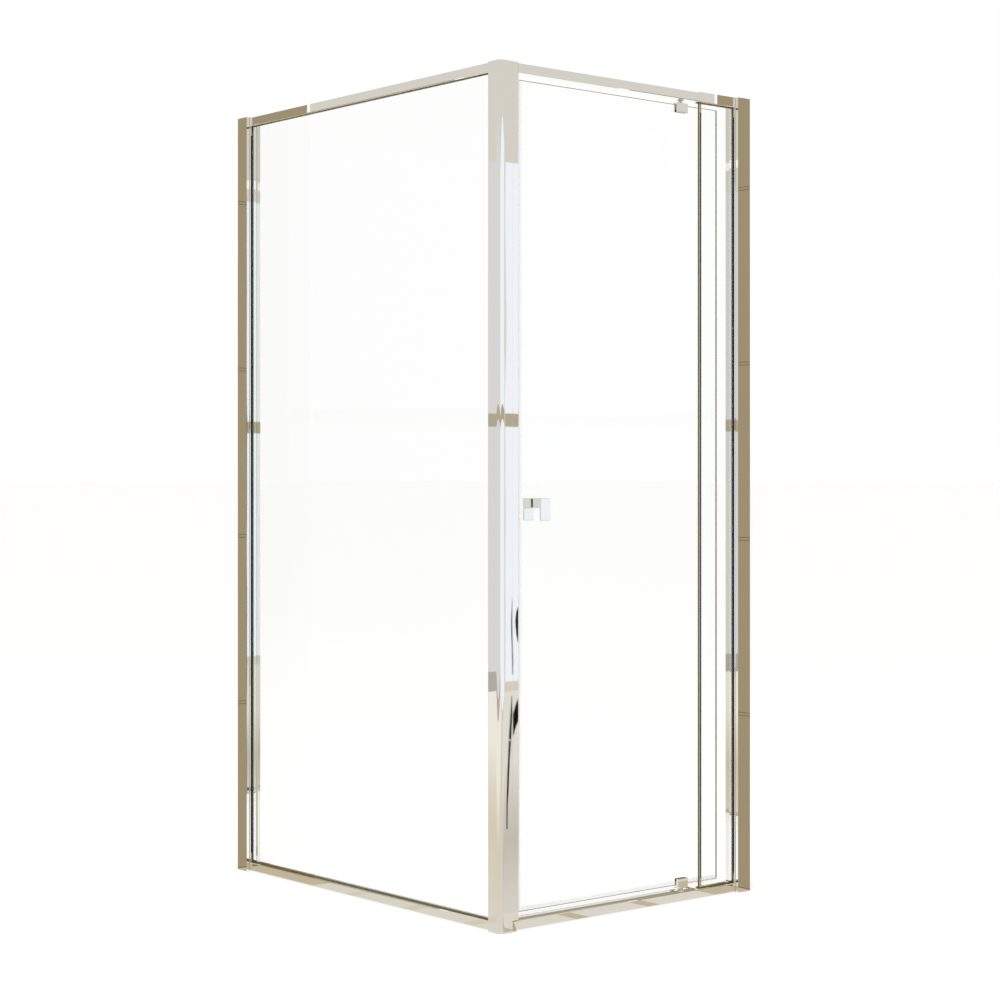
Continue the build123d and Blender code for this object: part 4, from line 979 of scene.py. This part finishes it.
def lay_tiled_walls(studio, side, front, right, back):
    """The two tiled walls, with their nibs and white trims past the screen."""
    joints = {"edge": studio.tile_joint / 2, "line": studio.joint_line}
    tones = (studio.tile, studio.joint)
    tiles = jointed_card("card_tiles", tones, "Z", 0, studio.tile_height, **joints)
    plaster = plain_card("card_plaster", studio.trim)
    trim = plain_card("card_trim", studio.trim)
    # Inside the screen the tiles end below white plaster, which the header's underside mirrors
    height, inside = studio.room_height, studio.inside_height
    side_end, front_end = side - studio.side_nib, front - studio.front_nib
    runs = (
        ("side", (side_end - studio.trim_width, back), (side_end, back), (side, back)),
        ("front", (right, front_end - studio.trim_width), (right, front_end), (right, front)),
    )
    for word, trim_end, nib_end, start in runs:
        wall_card(f"card_{word}_nib", nib_end, start, height, tiles)
        wall_card(f"card_{word}_inside", start, (right, back), inside, tiles)
        wall_card(f"card_{word}_plaster", start, (right, back), height, plaster, inside)
        wall_card(f"card_{word}_trim", trim_end, nib_end, height, trim)


def lay_room_floor(studio, side, front, right, back):
    """The mirrored floor, with its joints beside the low rails, and the tray inside the screen."""
    reach, near = studio.room_reach, studio.near_reach
    tones = (studio.side_near, studio.side_deep, studio.side_far)
    side_floor = graded_card("card_side_floor", "X", side, tones, studio)
    level_card("card_side_floor", (-reach, -reach), (side, reach), WIDE_LEVEL, side_floor)
    tones = (studio.front_near, studio.front_deep, studio.front_far)
    front_floor = graded_card("card_front_floor", "Y", front, tones, studio)
    level_card("card_front_floor", (side, -reach), (reach, front), WIDE_LEVEL, front_floor)
    tray = plain_card("card_tray", studio.tray)
    level_card("card_tray", (side, front), (right, back), WIDE_LEVEL, tray)
    # A soft floor joint is one wide line, so its edge lies at its middle
    joints = {"period": studio.floor_tile, "edge": 0, "line": studio.floor_gap}
    tones = (studio.side_near, studio.side_joint)
    strip = jointed_card("card_side_strip", tones, "Y", SIDE_JOINT_START, **joints)
    level_card("card_side_strip", (side - near, 0), (side, back), STRIP_LEVEL, strip)
    tones = (studio.front_near, studio.front_joint)
    strip = jointed_card("card_front_strip", tones, "X", FRONT_JOINT_START, **joints)
    level_card("card_front_strip", (0, front - near), (right, front), STRIP_LEVEL, strip)
    # The darker floor at the feet of the tiled walls is painted shade
    foot = plain_card("card_wall_foot", studio.wall_foot_shade)
    start, end = (side - near, back - 2 * near), (side, back)
    level_card("card_side_wall_foot", start, end, FOOT_LEVEL, foot)
    start, end = (right - near / 2, front - near), (right, front)
    level_card("card_front_wall_foot", start, end, FOOT_LEVEL, foot)


def rod_outline(middle):
    """The outline of a rod in pixels, up one side of its middle and back along the other."""
    left = [(x - half, y) for x, y, half in middle]
    right = [(x + half, y) for x, y, half in reversed(middle)]
    return left + right


def mirrored_places(studio, pixels, axis, level):
    """Where pixels of the photograph, mirrored by the post's front, meet a plane of the room."""
    eye = Vector(studio.eye)
    zoom = studio.lens / SENSOR_WIDTH
    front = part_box("corner_post")[0][1]
    places = []
    for x, y in pixels:
        right = (x / PHOTO_SIDE - 0.5) / zoom
        up = (0.5 - y / PHOTO_SIDE + studio.drop) / zoom
        way = Matrix.Rotation(-studio.turn, 3, "Z") @ Vector((right, 1, up))
        met = eye + way * ((front - eye.y) / way.y)
        way.y = -way.y
        place = met + way * ((level - met[axis]) / way[axis])
        places.append([round(value, ROOM_DECIMALS) for value in place])
    return places


def furnish_room(studio):
    """Skirtings at the feet of the far walls, a door frame, and a few dark things."""
    place, height = studio.room_reach - SKIRTING_INSET, studio.skirting_height
    bright = plain_card("card_bright_skirting", studio.bright_skirting)
    grey = plain_card("card_grey_skirting", studio.grey_skirting)
    wall_ring("skirting", place, bright, height / 2, grey, height)
    start, end = ((x, -place) for x in DOOR_FRAME_SPAN)
    beige = plain_card("card_door_frame", studio.door_frame)
    wall_card("card_door_frame", start, end, studio.room_height, beige)
    dark = plain_card("card_dark_patches", studio.dark)
    rods = {"high": ROD_HIGH, "low": ROD_LOW}
    rod_outlines = {f"card_dark_rod_{word}": rod_outline(rod) for word, rod in rods.items()}
    for name, outline in {**DARK_OUTLINES, **rod_outlines}.items():
        card(name, mirrored_places(studio, outline, 1, DARK_PLACE), dark)
    lying = mirrored_places(studio, rod_outline(ROD_ON_FLOOR), 2, ROD_LEVEL)
    card("card_dark_rod_floor", lying, dark)


class ScreenStudioStage(bpy.types.Operator):
    """Set up the floor, the daylight, the mirrored room and the camera."""

    bl_idname = "shower_screen.studio"
    bl_label = "Studio"

    def execute(self, context):
        studio = context.scene.screen_studio
        self.lay_floor(studio)
        self.hang_lights(context)
        mirrored_room(studio)
        self.place_camera(context, studio)
        context.scene.view_settings.view_transform = "Standard"
        return {"FINISHED"}

    def lay_floor(self, studio):
        """A pale matt floor, which light of its own brings to white wherever it shows."""
        material, tree, output = new_material("pale_studio_floor")
        lift = maths(tree, "MULTIPLY", looked_at(tree), studio.floor_lift)
        speckle = noise(tree, repeats(tree, 6, 6, 6), detail=3.0)
        roughness = spread(tree, speckle, low=0.4, high=0.6)
        inputs = {"Color": studio.floor_colour, "Roughness": roughness}
        matt = add_node(tree, "ShaderNodeBsdfDiffuse", inputs)
        glow = add_node(tree, "ShaderNodeEmission", {"Strength": lift})
        shaders = {0: matt.outputs["BSDF"], 1: glow.outputs["Emission"]}
        both = add_node(tree, "ShaderNodeAddShader", shaders)
        tree.links.new(both.outputs["Shader"], output.inputs["Surface"])
        half = studio.floor_size / 2
        corners = level_corners((-half, -half), (half, half), FLOOR_LEVEL)
        floor = sheet("floor", corners, material)

    def hang_lights(self, context):
        """A white sky for soft light, and one large lamp from the camera's side."""
        world = bpy.data.worlds.new("studio_sky")
        context.scene.world = world
        world.use_nodes = True
        tree = world.node_tree
        tree.nodes.clear()
        strength = spread(tree, looked_at(tree), SKY_LIGHT, SKY_SHOWN, start=0, end=1)
        inputs = {"Color": (1, 1, 1, 1), "Strength": strength}
        sky = add_node(tree, "ShaderNodeBackground", inputs)
        output = add_node(tree, "ShaderNodeOutputWorld")
        tree.links.new(sky.outputs["Background"], output.inputs["Surface"])
        lamp = bpy.data.lights.new("soft_lamp", "AREA")
        lamp.energy = LAMP_POWER
        lamp.size = LAMP_SIZE
        lamp.color = LAMP_TONE
        hung = placed("soft_lamp", lamp)
        hung.location = LAMP_PLACE
        aim = Vector(LAMP_TARGET) - hung.location
        hung.rotation_euler = aim.to_track_quat("-Z", "Y").to_euler()
        hung.visible_camera = False
        hung.visible_glossy = False
        hung.visible_transmission = False

    def place_camera(self, context, studio):
        """A level camera at the photograph's place, shifted down a little."""
        lens = bpy.data.cameras.new("photo_camera")
        lens.sensor_width = SENSOR_WIDTH
        lens.lens = studio.lens
        lens.shift_y = studio.drop
        lens.clip_start = CLIP_START
        lens.clip_end = studio.floor_size
        camera = placed("photo_camera", lens)
        camera.location = studio.eye
        camera.rotation_euler = (math.pi / 2, 0, -studio.turn)
        context.scene.camera = camera


class ScreenPanel(bpy.types.Panel):
    """Lists the screen's pieces, its finishes and its sizes."""

    bl_idname = "VIEW3D_PT_shower_screen"
    bl_label = "Shower Screen"
    bl_space_type = "VIEW_3D"
    bl_region_type = "UI"
    bl_category = "Shower Screen"

    def draw(self, context):
        for step in STEPS:
            self.layout.operator(step.bl_idname)
        scene = context.scene
        for group in (scene.screen_finishes, scene.screen_sizes, scene.screen_studio):
            box = self.layout.box()
            for name in group.__annotations__:
                box.prop(group, name)


GROUPS = (ScreenFinishes, ScreenSizes, ScreenStudio)
STEPS = (
    ScreenExtrusions,
    ScreenFittings,
    ScreenGlass,
    ScreenSeals,
    ScreenInnerParts,
    ScreenScrews,
    ScreenStudioStage,
)


def register():
    """Register the classes and hang the property groups on the scene."""
    for kind in (*GROUPS, *STEPS, ScreenPanel):
        bpy.utils.register_class(kind)
    bpy.types.Scene.screen_finishes = bpy.props.PointerProperty(type=ScreenFinishes)
    bpy.types.Scene.screen_sizes = bpy.props.PointerProperty(type=ScreenSizes)
    bpy.types.Scene.screen_studio = bpy.props.PointerProperty(type=ScreenStudio)


def unregister():
    """Take the property groups and the classes away again."""
    del bpy.types.Scene.screen_studio
    del bpy.types.Scene.screen_sizes
    del bpy.types.Scene.screen_finishes
    for kind in reversed((*GROUPS, *STEPS, ScreenPanel)):
        bpy.utils.unregister_class(kind)


def main():
    """Dress the screen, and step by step."""
    register()
    for step in STEPS:
        group, action = step.bl_idname.split(".")
        getattr(getattr(bpy.ops, group), action)()


if __name__ == "__main__":
    main()
